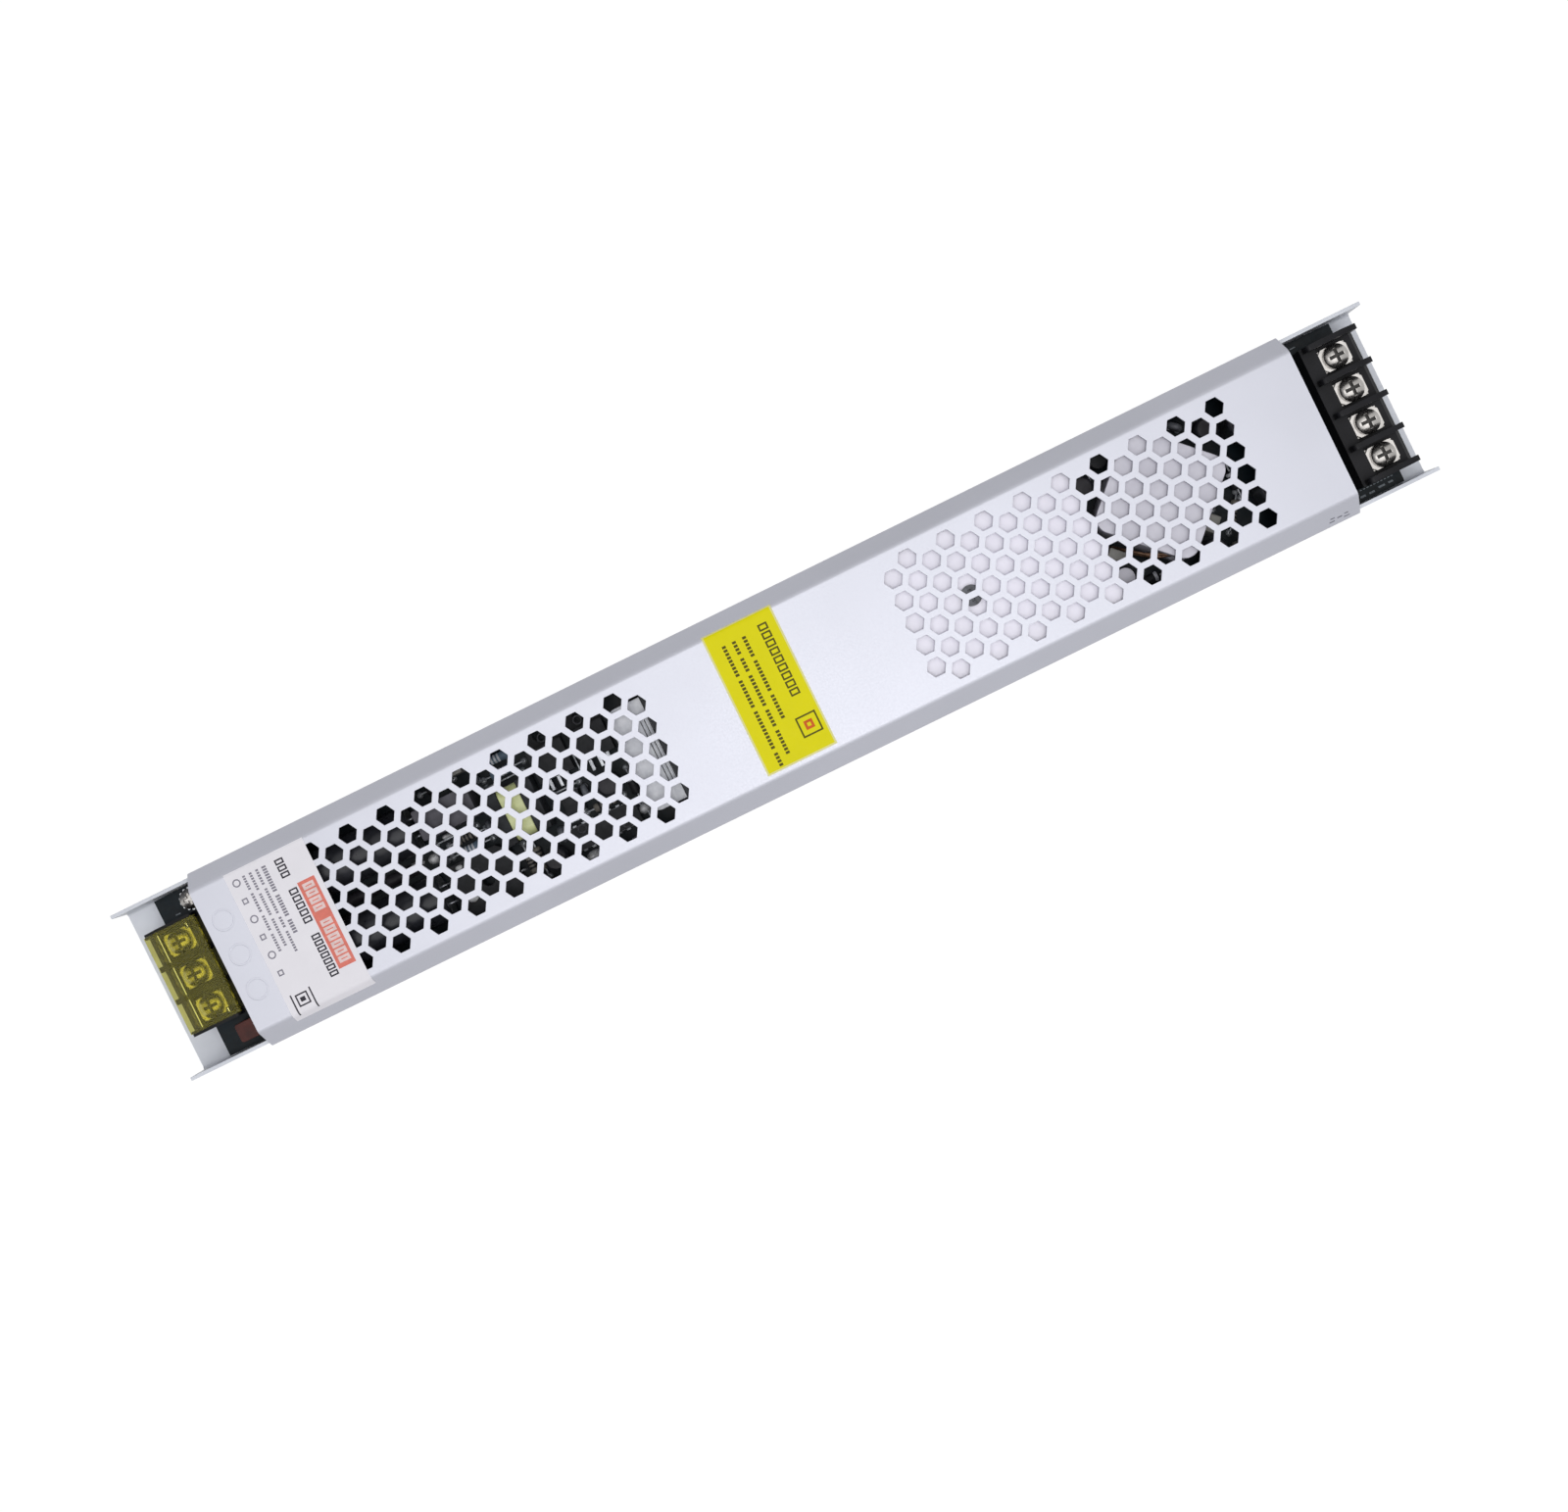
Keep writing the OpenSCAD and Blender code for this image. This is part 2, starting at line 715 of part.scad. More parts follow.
module fuse() {
  h = 7.8;
  behind_block = 3.3;
  x = input_back - fuse_l / 2 + behind_block;
  color("#7c2a22") translate([x, fuse_y, deck_z]) moulded_box(fuse_l, fuse_w, h, 0.8);
}

// Upright disc on the board with its axis along the case
module upright_disc(x, y, d, t) {
  translate([x, y, deck_z + d / 2]) rotate([0, 90, 0]) coated_disc(d, t);
}

module thermistor() {
  color("#23301f") upright_disc(disc_x, disc_y, tall_h - disc_gap, 4.8);
}

module varistor() {
  color("#2b5aa0") upright_disc(disc_x, -disc_y, tall_h - disc_gap, 4.4);
}

module x_capacitor() {
  l = 20;
  w = 9;
  color("#c9a93a") translate([x_cap_xy[0], x_cap_xy[1], deck_z]) moulded_box(l, w, tall_h - 1, 0.6);
}

module y_capacitors() {
  d = 7;
  t = 2.8;
  color("#2f6db3") for (x = y_cap_x) {
    translate([x, y_cap_y, deck_z + d / 2]) rotate([90, 0, 0]) coated_disc(d, t);
  }
}

module mains_choke_core() {
  color(ferrite) translate([choke_xy[0], choke_xy[1], deck_z + choke_wire]) rotate_extrude()
    translate([choke_hole_d / 2, 0]) square([(choke_d - choke_hole_d) / 2, choke_h]);
}

// Two windings of single turns round the ring
module mains_choke_windings() {
  inner_r = choke_hole_d / 2 - choke_wire;
  spare_angle = 2;
  winding_angle = 135;
  step = 2 * atan(choke_wire / 2 / inner_r) + spare_angle;
  turns = floor(winding_angle / step);
  mid_r = (choke_d + choke_hole_d) / 4;
  section = (choke_d - choke_hole_d) / 2;
  color(copper) translate([choke_xy[0], choke_xy[1], deck_z + choke_wire + choke_h / 2]) {
    for (side = [0, 180], k = [0 : turns - 1]) {
      rotate(side + (k - (turns - 1) / 2) * step) translate([mid_r, 0, 0]) rotate([90, 0, 0])
        linear_extrude(height = choke_wire, center = true) difference() {
          round_rect(section + 2 * choke_wire, choke_h + 2 * choke_wire, choke_wire);
          square([section + 2 * pin_gap, choke_h + 2 * pin_gap], center = true);
        }
    }
  }
}

module bulk_capacitors() {
  d = tall_h - 0.6;
  spread = 3.3;
  color("#26272b") for (s = [-1, 1]) {
    translate([bulk_x, s * (d / 2 + spread), deck_z + d / 2]) rotate([0, 90, 0]) can(d, bulk_l);
  }
}

module bleed_resistors() {
  d = 3.2;
  l = 9;
  color("#8d7a5c") for (x = bleed_x) {
    translate([x, 0, deck_z + d / 2]) rotate([0, 90, 0]) cylinder(d = d, h = l);
  }
}

// Flat bridge rectifier with one clipped corner and a screw hole
module bridge_rectifier() {
  l = 17;
  w = 15;
  clip = 3;
  hole_d = 3.4;
  h = 4.6;
  color("#202124") translate([bridge_xy[0], bridge_xy[1], deck_z]) linear_extrude(height = h) difference() {
    polygon([
      [-l / 2, -w / 2], [l / 2, -w / 2], [l / 2, w / 2 - clip], [l / 2 - clip, w / 2], [-l / 2, w / 2]
    ]);
    circle(d = hole_d);
  }
}

module coupling_capacitor() {
  l = 16;
  w = 8.5;
  color("#5d5f63") translate([coupling_xy[0], coupling_xy[1], deck_z]) moulded_box(l, w, tall_h - 1.6, 0.6);
}

module main_switches() {
  color("#232427") for (x = switch_x) {
    translate([x, switch_y, deck_z]) flat_transistor();
  }
}

// Small core of two halves, each a yoke with a middle leg through the winding
module driver_core() {
  l = driver_tape_w + 2 * driver_yoke;
  color(ferrite) translate([driver_xy[0], driver_xy[1], deck_z]) {
    for (s = [-1, 1]) {
      translate([s * (driver_tape_w + driver_yoke) / 2, 0, driver_h / 2])
        cube([driver_yoke, driver_l, driver_h], center = true);
    }
    translate([0, 0, driver_h / 2]) cube([l, driver_leg, driver_leg], center = true);
  }
}

module driver_winding() {
  margin = 0.5;
  color(film_yellow) translate([driver_xy[0], driver_xy[1], deck_z + driver_h / 2]) rotate([90, 0, 90])
    linear_extrude(height = driver_tape_w - 2 * pin_gap, center = true) difference() {
      round_rect(driver_l - margin, driver_h - margin, 2.5);
      square([driver_leg + 2 * pin_gap, driver_leg + 2 * pin_gap], center = true);
    }
}

// Chip in a narrow moulded case with two rows of bent leads
module dual_in_line(l, pins) {
  w = 6.4;
  h = 3.4;
  stand = 0.5;
  pitch = 2.54;
  lead_w = 1;
  lead_t = 0.3;
  lead_z = stand + h / 2;
  translate([0, 0, stand]) moulded_box(l, w, h, 0.3);
  for (s = [-1, 1], i = [0 : pins - 1]) {
    translate([(i - (pins - 1) / 2) * pitch, s * (w / 2 + lead_t), 0]) {
      translate([0, -s * lead_t / 2, lead_z]) cube([lead_w, 2 * lead_t, lead_t], center = true);
      translate([-lead_w / 2, -lead_t / 2, 0]) cube([lead_w, lead_t, lead_z + lead_t / 2]);
    }
  }
}

module control_chip() {
  l = 19.5;
  color("#1f2023") translate([chip_xy[0], chip_xy[1], deck_z]) dual_in_line(l, 7);
}

module optocoupler() {
  l = 5.2;
  color("#24262a") translate([optocoupler_xy[0], optocoupler_xy[1], deck_z]) dual_in_line(l, 2);
}

module small_capacitors() {
  d = 6.3;
  l = 9;
  color("#2a2b30") for (p = small_cap_xy) translate([p[0], p[1], deck_z]) can(d, l);
}

// Transformer core: top and bottom plates, two side legs and a middle leg
module main_core() {
  color(ferrite) translate([main_mid, 0, deck_z]) {
    for (z = [0, tall_h - main_plate]) {
      translate([-main_core_w / 2, -main_core_l / 2, z]) cube([main_core_w, main_core_l, main_plate]);
    }
    for (s = [-1, 1]) {
      translate([-main_core_w / 2, s * (main_core_l - main_side_leg) / 2 - main_side_leg / 2, 0])
        cube([main_core_w, main_side_leg, tall_h]);
    }
    translate([-main_core_w / 2, -main_leg / 2, 0]) cube([main_core_w, main_leg, tall_h]);
  }
}

// Taped winding round the middle leg, standing out of both sides of the core
module main_winding() {
  color(tape_grey) translate([main_mid, 0, deck_z + main_plate + winding_gap / 2])
    linear_extrude(height = main_window_h - winding_gap) difference() {
      round_rect(main_x1 - main_x0, winding_l, 3);
      square([main_core_w + 2 * winding_gap, main_leg + 2 * winding_gap], center = true);
    }
}

// Moulded feet that carry the winding on the board beside the core
module main_bobbin() {
  foot_l = main_overhang - 3;
  core_gap = 0.3;
  color("#2b2a28") for (s = [-1, 1]) {
    translate([main_mid + s * (main_core_w / 2 + core_gap + foot_l / 2), 0, deck_z])
      moulded_box(foot_l, winding_l - 2, main_plate, 0.8);
  }
}

// Folded heat spreader that stands on the board on its two sides
module heat_spreader() {
  color("#e6e7ea") difference() {
    translate([(spreader_x0 + spreader_x1) / 2, 0, 0]) along_x(spreader_x1 - spreader_x0)
      sheet_profile(spreader_path, spreader_bend_r, spreader_t);
    translate([spreader_screw_x, 0, spreader_top - spreader_t - cut])
      cylinder(d = small_d + 2 * hole_gap, h = spreader_t + 2 * cut);
  }
}

module spreader_post() {
  bore_depth = 6;
  post_top = spreader_top - spreader_t;
  color("#c8b46a") translate([spreader_screw_x, 0, 0]) difference() {
    translate([0, 0, deck_z]) cylinder(d = spreader_post_d, h = post_top - deck_z, $fn = 6);
    translate([0, 0, post_top - bore_depth]) cylinder(d = small_d + 2 * pin_gap, h = bore_depth + cut);
  }
}

module spreader_screw() {
  head_h = 0.9;
  recess_depth = 0.6;
  l = spreader_t + 4;
  color(nickel) translate([spreader_screw_x, 0, spreader_top]) difference() {
    union() {
      cylinder(d = pan_head_d, h = head_h);
      translate([0, 0, -l]) cylinder(d = small_d, h = l + head_h / 2);
    }
    translate([0, 0, head_h]) cross_recess(recess_l, recess_w, recess_depth);
  }
}

module output_rectifiers() {
  pitch = 12;
  inset = 9;
  post_gap = 6;
  y = -1;
  room = spreader_screw_x - spreader_post_d / 2 - post_gap - spreader_x0 - inset;
  count = floor(room / pitch) + 1;
  color("#232427") for (i = [0 : count - 1]) {
    translate([spreader_x0 + inset + i * pitch, y, deck_z]) flat_transistor();
  }
}

// Square pot core set corner-wise, open at two corners where the winding shows
module output_choke_core() {
  window_x = (pot_post_d + pot_room_d) / 4;
  window_w = pot_w / 2;
  color("#c4c3cb") translate([pot_xy[0], pot_xy[1], deck_z]) rotate(45) difference() {
    moulded_box(pot_w, pot_w, tall_h, 4);
    translate([0, 0, pot_plate]) difference() {
      union() {
        cylinder(d = pot_room_d, h = pot_winding_h);
        for (a = [45, 225]) {
          rotate(a) translate([window_x, -window_w / 2, 0]) cube([pot_w, window_w, pot_winding_h]);
        }
      }
      translate([0, 0, -cut]) cylinder(d = pot_post_d, h = pot_winding_h + 2 * cut);
    }
  }
}

module output_choke_winding() {
  gap = 0.3;
  color(copper) translate([pot_xy[0], pot_xy[1], deck_z + pot_plate + gap / 2]) difference() {
    cylinder(d = pot_room_d - 2 * gap, h = pot_winding_h - gap);
    translate([0, 0, -cut]) cylinder(d = pot_post_d + 2 * gap, h = pot_winding_h + 2 * cut);
  }
}

module output_capacitors() {
  inset = 0.7;
  gap = 1;
  color("#2a2b30") for (i = [0, 1], s = [-1, 1]) {
    translate([cover_x1 - inset - output_cap_d / 2 - i * (output_cap_d + gap), s * output_cap_y, deck_z])
      can(output_cap_d, tall_h - 0.8);
  }
}

base_channel();
top_cover();
cover_screws();
insulating_sheet();
board_standoffs();
circuit_board();
board_washers();
board_screws();
input_terminal_block();
input_contact_plates();
input_flap();
for (i = [0 : input_poles - 1]) {
  input_clamp(i);
  input_screw(i);
}
output_terminal_block();
output_contact_plates();
for (i = [0 : output_poles - 1]) {
  output_clamp(i);
  output_screw(i);
}
fuse();
thermistor();
varistor();
x_capacitor();
y_capacitors();
mains_choke_core();
mains_choke_windings();
bulk_capacitors();
bleed_resistors();
bridge_rectifier();
coupling_capacitor();
main_switches();
driver_core();
driver_winding();
control_chip();
optocoupler();
small_capacitors();
main_core();
main_winding();
main_bobbin();
heat_spreader();
spreader_post();
spreader_screw();
output_rectifiers();
output_choke_core();
output_choke_winding();
output_capacitors();
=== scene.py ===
"""Looks of a slim strip power supply for lighting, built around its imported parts."""

import json
import math
from contextlib import contextmanager
from functools import cache

import bpy
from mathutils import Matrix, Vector

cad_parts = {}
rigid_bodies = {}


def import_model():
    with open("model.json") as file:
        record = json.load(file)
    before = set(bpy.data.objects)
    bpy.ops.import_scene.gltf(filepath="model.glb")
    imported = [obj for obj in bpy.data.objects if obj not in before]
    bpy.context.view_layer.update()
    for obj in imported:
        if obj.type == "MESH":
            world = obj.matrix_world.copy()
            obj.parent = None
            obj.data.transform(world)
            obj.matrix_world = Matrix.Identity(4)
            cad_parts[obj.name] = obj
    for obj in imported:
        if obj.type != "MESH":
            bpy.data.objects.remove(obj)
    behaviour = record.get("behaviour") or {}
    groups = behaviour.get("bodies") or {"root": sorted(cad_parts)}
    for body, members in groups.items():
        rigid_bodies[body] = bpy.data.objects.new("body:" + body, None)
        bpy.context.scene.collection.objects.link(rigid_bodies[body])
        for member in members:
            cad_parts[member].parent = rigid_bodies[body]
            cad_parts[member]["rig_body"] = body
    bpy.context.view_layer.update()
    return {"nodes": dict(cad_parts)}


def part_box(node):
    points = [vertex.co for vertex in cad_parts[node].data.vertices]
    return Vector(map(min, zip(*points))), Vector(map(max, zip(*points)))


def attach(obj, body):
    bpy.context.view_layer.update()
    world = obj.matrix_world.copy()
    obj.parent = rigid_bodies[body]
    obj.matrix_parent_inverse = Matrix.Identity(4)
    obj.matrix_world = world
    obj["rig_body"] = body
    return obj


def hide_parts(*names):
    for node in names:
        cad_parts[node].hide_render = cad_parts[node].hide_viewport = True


bl_info = {
    "name": "Strip power supply looks",
    "version": (1, 0, 0),
    "blender": (4, 5, 0),
    "location": "View3D > Sidebar > Supply",
    "description": "Finishes, stickers, small parts and studio for a strip power supply",
    "category": "Object",
}

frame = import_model()
MM = 0.001
COVER_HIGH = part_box("top_cover")[1]
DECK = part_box("circuit_board")[1].z
# Turn that lays an upright piece along X
LYING = (0, math.pi / 2, 0)
# Gap that keeps a film clear of the sheet beneath it
TACK = 0.01 * MM
# Parts of a noise's range that are spread over the whole change of tone or gloss
PATCH_SPAN = (0.32, 0.68)
GRAIN_SPAN = (0.3, 0.7)


def linear(hex_colour):
    """Turn an sRGB hex value into the linear colour that shaders take."""
    values = [int(hex_colour[i:i + 2], 16) / 255 for i in (1, 3, 5)]
    return (*(v / 12.92 if v <= 0.04045 else ((v + 0.055) / 1.055) ** 2.4 for v in values), 1.0)


def length(name, description, size_mm):
    """A length that a user may change, given in millimetres."""
    return bpy.props.FloatProperty(
        name=name, description=description, default=size_mm * MM, unit="LENGTH", precision=4
    )


def tone(name, description, hex_colour):
    """A colour that a user may change, given as an sRGB hex value."""
    return bpy.props.FloatVectorProperty(
        name=name, description=description, default=linear(hex_colour), subtype="COLOR", size=4, min=0, max=1
    )


class CaseSettings(bpy.types.PropertyGroup):
    """Sizes and colours of the folded case"""

    flat_width: length("Flat top", "Width of the cover's flat top between its folds", 41)
    shoulder_drop: length("Shoulder drop", "Drop of the cover's sloped shoulders", 6)
    fold_radius: length("Fold radius", "Outer radius of the cover's folds", 1.8)
    hole_edge: length("Hole edge", "Rounding of the cover's punched edges", 0.12)
    sheet_edge: length("Sheet edge", "Rounding of the channel's cut edges", 0.15)
    cover_tone: tone("Cover", "Colour of the blasted cover", "#c0c1ca")
    channel_tone: tone("Channel", "Colour of the rolled channel", "#d6d9e0")


class StickerSettings(bpy.types.PropertyGroup):
    """Sizes and colours of the two stickers"""

    film: length("Film", "Thickness of a sticker", 0.08)
    ink: length("Ink", "Thickness of the print", 0.02)
    white_start: length("White start", "Input edge of the white sticker", -148.7)
    white_end: length("White end", "Output edge of the white sticker", -125.7)
    white_top: length("White top", "Reach of the white sticker towards +Y", 20.3)
    white_foot: length("White foot", "Reach of the white sticker over the -Y fold", 23.2)
    yellow_middle: length("Yellow middle", "Middle of the yellow sticker along the case", 0.3)
    yellow_length: length("Yellow length", "Size of the yellow sticker along the case", 19.9)
    yellow_top: length("Yellow top", "Reach of the yellow sticker towards +Y", 21.0)
    yellow_foot: length("Yellow foot", "Reach of the yellow sticker towards -Y", 19.0)
    white_tone: tone("White", "Colour of the white sticker", "#f8f5f9")
    yellow_tone: tone("Yellow", "Colour of the yellow sticker", "#efe612")
    border_tone: tone("Yellow border", "Colour of the yellow sticker's unprinted border", "#f0eba0")
    red_tone: tone("Red print", "Colour of the printed red field", "#ea8475")
    dark_tone: tone("Dark print", "Colour of the dark print", "#3a3840")
    grey_tone: tone("Grey print", "Colour of the fine grey print", "#8f8c97")


class PartSettings(bpy.types.PropertyGroup):
    """Sizes and colours of the terminals and the parts on the board"""

    moulded_edge: length("Moulded edge", "Rounding of moulded edges", 0.25)
    metal_edge: length("Metal edge", "Rounding of small metal edges", 0.1)
    thread_depth: length("Thread depth", "Depth of the terminal screws' thread", 0.3)
    thread_pitch: length("Thread pitch", "Rise of the terminal screws' thread in a turn", 0.6)
    lead_radius: length("Lead radius", "Radius of tinned leads", 0.25)
    plastic_tone: tone("Terminal plastic", "Colour of the terminal blocks", "#18181b")
    flap_tone: tone("Flap", "Colour of the clear flap", "#efe886")
    nickel_tone: tone("Nickel", "Colour of the nickel-plated screws", "#b2afac")
    board_tone: tone("Board", "Colour of the board's lacquer", "#0a151b")
    sleeve_tone: tone("Sleeve", "Colour of the capacitors' sleeves", "#25262b")
    tape_tone: tone("Lime tape", "Colour of the driver winding's tape", "#f0f6b2")
    spreader_tone: tone("Heat spreader", "Colour of the heat spreader", "#f4f1fb")


class StageSettings(bpy.types.PropertyGroup):
    """Camera, floor and light"""

    camera_place: bpy.props.FloatVectorProperty(
        name="Camera", description="Place of the camera", default=(0.00923, -0.00805, 0.55664),
        subtype="TRANSLATION", unit="LENGTH"
    )
    camera_turn: bpy.props.FloatVectorProperty(
        name="Camera turn", description="Turn of the camera about X, Y and Z", subtype="EULER",
        default=[math.radians(a) for a in (-1.368, 0.866, -26.137)]
    )
    lens: bpy.props.FloatProperty(
        name="Lens", description="Focal length in millimetres", default=47.5, subtype="DISTANCE_CAMERA"
    )
    lamp_height: length("Lamp height", "Height of both lamps", 1200)
    lamp_size: length("Lamp size", "Diameter of the main lamp", 1800)
    lamp_side: length("Lamp side", "Place of the main lamp across the case", -420)
    lamp_power: bpy.props.FloatProperty(
        name="Lamp power", description="Power of the main lamp", default=7.3, subtype="POWER"
    )
    key_size: length("Key lamp size", "Diameter of the smaller lamp over the middle", 500)
    key_side: length("Key lamp side", "Place of the smaller lamp across the case", -160)
    key_power: bpy.props.FloatProperty(
        name="Key lamp power", description="Power of the smaller lamp over the middle", default=2.5,
        subtype="POWER"
    )
    sky: bpy.props.FloatProperty(
        name="Sky", description="Strength of the even light from all sides", default=0.37, subtype="FACTOR"
    )
    floor_tone: tone("Floor", "Colour of the floor", "#b9b9bd")


# Materials


def add(tree, kind, settings=None, inputs=None):
    """Add a node with its settings, its values and its links."""
    node = tree.nodes.new("ShaderNode" + kind)
    for key, value in (settings or {}).items():
        setattr(node, key, value)
    for key, value in (inputs or {}).items():
        if isinstance(value, bpy.types.NodeSocket):
            tree.links.new(value, node.inputs[key])
        else:
            node.inputs[key].default_value = value
    return node


def finish(name, tones, rough, grain_mm, bump_mm, drift_mm, stretch=(1, 1, 1), **sockets):
    """A surface whose tone drifts over wide patches, with roughness and relief from a finer grain.

    The grain's width, its height and the patches' width are real sizes in millimetres.
    """
    material = bpy.data.materials.new(name)
    material.use_nodes = True
    tree = material.node_tree
    shader = tree.nodes["Principled BSDF"]
    place = add(tree, "TexCoord").outputs["Object"]
    patch = add(tree, "TexNoise", None, {"Vector": place, "Scale": 1 / (drift_mm * MM), "Detail": 3.0})
    spread = add(tree, "MapRange", None, {
        "Value": patch.outputs["Fac"], "From Min": PATCH_SPAN[0], "From Max": PATCH_SPAN[1],
    })
    mix = add(tree, "Mix", {"data_type": "RGBA"}, {0: spread.outputs["Result"], 6: tones[0], 7: tones[1]})
    tree.links.new(mix.outputs[2], shader.inputs["Base Color"])
    scale = [share / (grain_mm * MM) for share in stretch]
    fine = add(tree, "Mapping", None, {"Vector": place, "Scale": scale})
    grain = add(tree, "TexNoise", None, {"Vector": fine.outputs["Vector"], "Scale": 1.0, "Detail": 2.0})
    dull = add(tree, "MapRange", None, {
        "Value": grain.outputs["Fac"], "From Min": GRAIN_SPAN[0], "From Max": GRAIN_SPAN[1],
        "To Min": rough[0], "To Max": rough[1],
    })
    tree.links.new(dull.outputs["Result"], shader.inputs["Roughness"])
    relief = add(tree, "Bump", None, {"Height": grain.outputs["Fac"], "Distance": bump_mm * MM})
    tree.links.new(relief.outputs["Normal"], shader.inputs["Normal"])
    for socket, value in sockets.items():
        shader.inputs[socket.replace("_", " ").title().replace("Ior", "IOR")].default_value = value
    return material


def pair(low, high):
    """Two tones from sRGB hex values."""
    return linear(low), linear(high)


def shades(colour, low, high):
    """A lower and a higher tone of one colour, by shares."""
    return [[min(1.0, value * share) for value in colour[:3]] + [1.0] for share in (low, high)]


# Settings of the scene in use


def case():
    return bpy.context.scene.supply_case


def stickers():
    return bpy.context.scene.supply_stickers


def parts():
    return bpy.context.scene.supply_parts


def stage():
    return bpy.context.scene.supply_stage


# Finishes


@cache
def blasted_aluminium():
    """Bead-blasted, clear anodised aluminium: an even pale grey with a soft wide highlight."""
    # the grit is finer than a pixel, so it is drawn at half a millimetre
    tones = shades(case().cover_tone, 0.97, 1.02)
    return finish("blasted_aluminium", tones, (0.4, 0.48), 0.5, 0.004, 40, metallic=0.45)


@cache
def rolled_aluminium():
    """Mill-rolled aluminium sheet: brighter and sharper, with faint lines along the roll."""
    tones = shades(case().channel_tone, 0.93, 1.04)
    return finish("rolled_aluminium", tones, (0.36, 0.5), 0.3, 0.004, 12, (0.04, 1, 1), metallic=0.1)


@cache
def spreader_aluminium():
    """Pickled aluminium plate: near white and dull, with small stains."""
    tones = shades(parts().spreader_tone, 0.95, 1.0)
    return finish("spreader_aluminium", tones, (0.45, 0.58), 0.6, 0.006, 7, metallic=0.1)


@cache
def nickel_plate():
    """Nickel-plated steel: a soft grey shine, with fine turning marks."""
    tones = shades(parts().nickel_tone, 0.8, 1.0)
    return finish("nickel_plate", tones, (0.2, 0.34), 0.35, 0.012, 3, metallic=1.0)


@cache
def recess_shade_nickel():
    """Nickel in the screws' cross recesses, dark and dull: painted shade for the deep, narrow slots."""
    return finish("recess_shade_nickel", pair("#2a2826", "#3d3b39"), (0.5, 0.65), 0.3, 0.01, 2, metallic=0.3)


@cache
def blackened_steel():
    """Blackened steel: dark grey and satin, worn a little paler in patches."""
    return finish("blackened_steel", pair("#2c2d30", "#4c4d52"), (0.34, 0.5), 0.4, 0.01, 1.5, metallic=0.6)


@cache
def zinc_plate():
    """Zinc-plated steel: cooler and duller than nickel, slightly cloudy."""
    return finish("zinc_plate", pair("#aeb1b5", "#cfd1d4"), (0.24, 0.4), 0.4, 0.01, 2, metallic=1.0)


@cache
def tinned_wire():
    """Tin-dipped copper wire: silver grey, with small beads in the dip."""
    return finish("tinned_wire", pair("#a9acb2", "#cdd0d5"), (0.24, 0.38), 0.5, 0.015, 2, metallic=0.6)


@cache
def turned_brass():
    """Turned brass: yellow metal with fine rings from the tool."""
    return finish("turned_brass", pair("#b39a4f", "#cbb56b"), (0.2, 0.34), 0.3, 0.006, 3, metallic=1.0)


@cache
def moulded_polyester():
    """Black glass-filled polyester: satin, with a fine moulded texture and a grey bloom."""
    tones = shades(parts().plastic_tone, 0.8, 1.5)
    return finish("moulded_polyester", tones, (0.34, 0.48), 0.35, 0.012, 6, specular_ior_level=0.14)


@cache
def clear_polycarbonate():
    """Yellow polycarbonate sheet: clear and glossy, with a little haze of its own colour."""
    # a thin sheet hardly bends light, so the index is below the 1.58 of a thick block
    tones = shades(parts().flap_tone, 0.92, 1.0)
    return finish("clear_polycarbonate", tones, (0.03, 0.08), 1.5, 0.004, 5,
                  ior=1.18, transmission_weight=0.95, specular_ior_level=0.06)


@cache
def board_lacquer():
    """Black-green solder lacquer over copper tracks: semi-gloss, with slight relief from the tracks."""
    tones = shades(parts().board_tone, 0.75, 1.45)
    return finish("board_lacquer", tones, (0.28, 0.42), 1.4, 0.03, 2.2, (0.35, 1, 1), specular_ior_level=0.14)


@cache
def shrunk_sleeve():
    """Shrunk vinyl sleeve: dark and smooth, with a soft gloss and small wrinkles."""
    tones = shades(parts().sleeve_tone, 0.8, 1.3)
    return finish("shrunk_sleeve", tones, (0.26, 0.38), 2.5, 0.03, 5, specular_ior_level=0.3)


@cache
def moulded_epoxy():
    """Moulded black epoxy of chips and transistors: matt, slightly grey."""
    tones = pair("#1d1e21", "#2b2c30")
    return finish("moulded_epoxy", tones, (0.45, 0.62), 0.2, 0.01, 2, specular_ior_level=0.25)


@cache
def sintered_ferrite():
    """Sintered ferrite: a dark grey ceramic, matt with tiny pits."""
    tones = pair("#26272a", "#383a3e")
    return finish("sintered_ferrite", tones, (0.5, 0.7), 0.35, 0.02, 3, specular_ior_level=0.2)


@cache
def coated_ferrite():
    """Ferrite core under a pale nickel-zinc coat: lavender grey and even."""
    return finish("coated_ferrite", pair("#c1bfc9", "#d0ced7"), (0.42, 0.55), 0.5, 0.008, 9, metallic=0.1)


@cache
def enamelled_copper():
    """Enamelled copper wire: brown and glossy, with a line between turns."""
    return finish("enamelled_copper", pair("#5f4433", "#8a6a52"), (0.24, 0.36), 0.4, 0.03, 1.2, metallic=0.5)


@cache
def lime_tape():
    """Polyester film tape in lime: smooth, glossy, with faint ripples over the turns beneath."""
    return finish("lime_tape", shades(parts().tape_tone, 0.88, 1.06), (0.22, 0.34), 1.2, 0.05, 2)


@cache
def pale_tape():
    """Polyester film tape in pale grey: glossy, with ripples over the turns beneath."""
    return finish("pale_tape", pair("#cfd1d8", "#ecedf2"), (0.28, 0.4), 0.9, 0.06, 2.5, (1, 0.15, 1))


@cache
def dipped_epoxy(name, low, high):
    """Dipped epoxy of disc parts: glossy, thick and a little uneven."""
    return finish("dipped_epoxy_" + name, pair(low, high), (0.2, 0.32), 1.5, 0.05, 3)


@cache
def film_case(name, low, high):
    """Moulded case of film parts: flat plastic with a dull sheen."""
    return finish("film_case_" + name, pair(low, high), (0.36, 0.5), 0.4, 0.015, 4, specular_ior_level=0.2)


def dark_case():
    """The dark grey case of several parts."""
    return film_case("dark", "#27252a", "#3b393e")


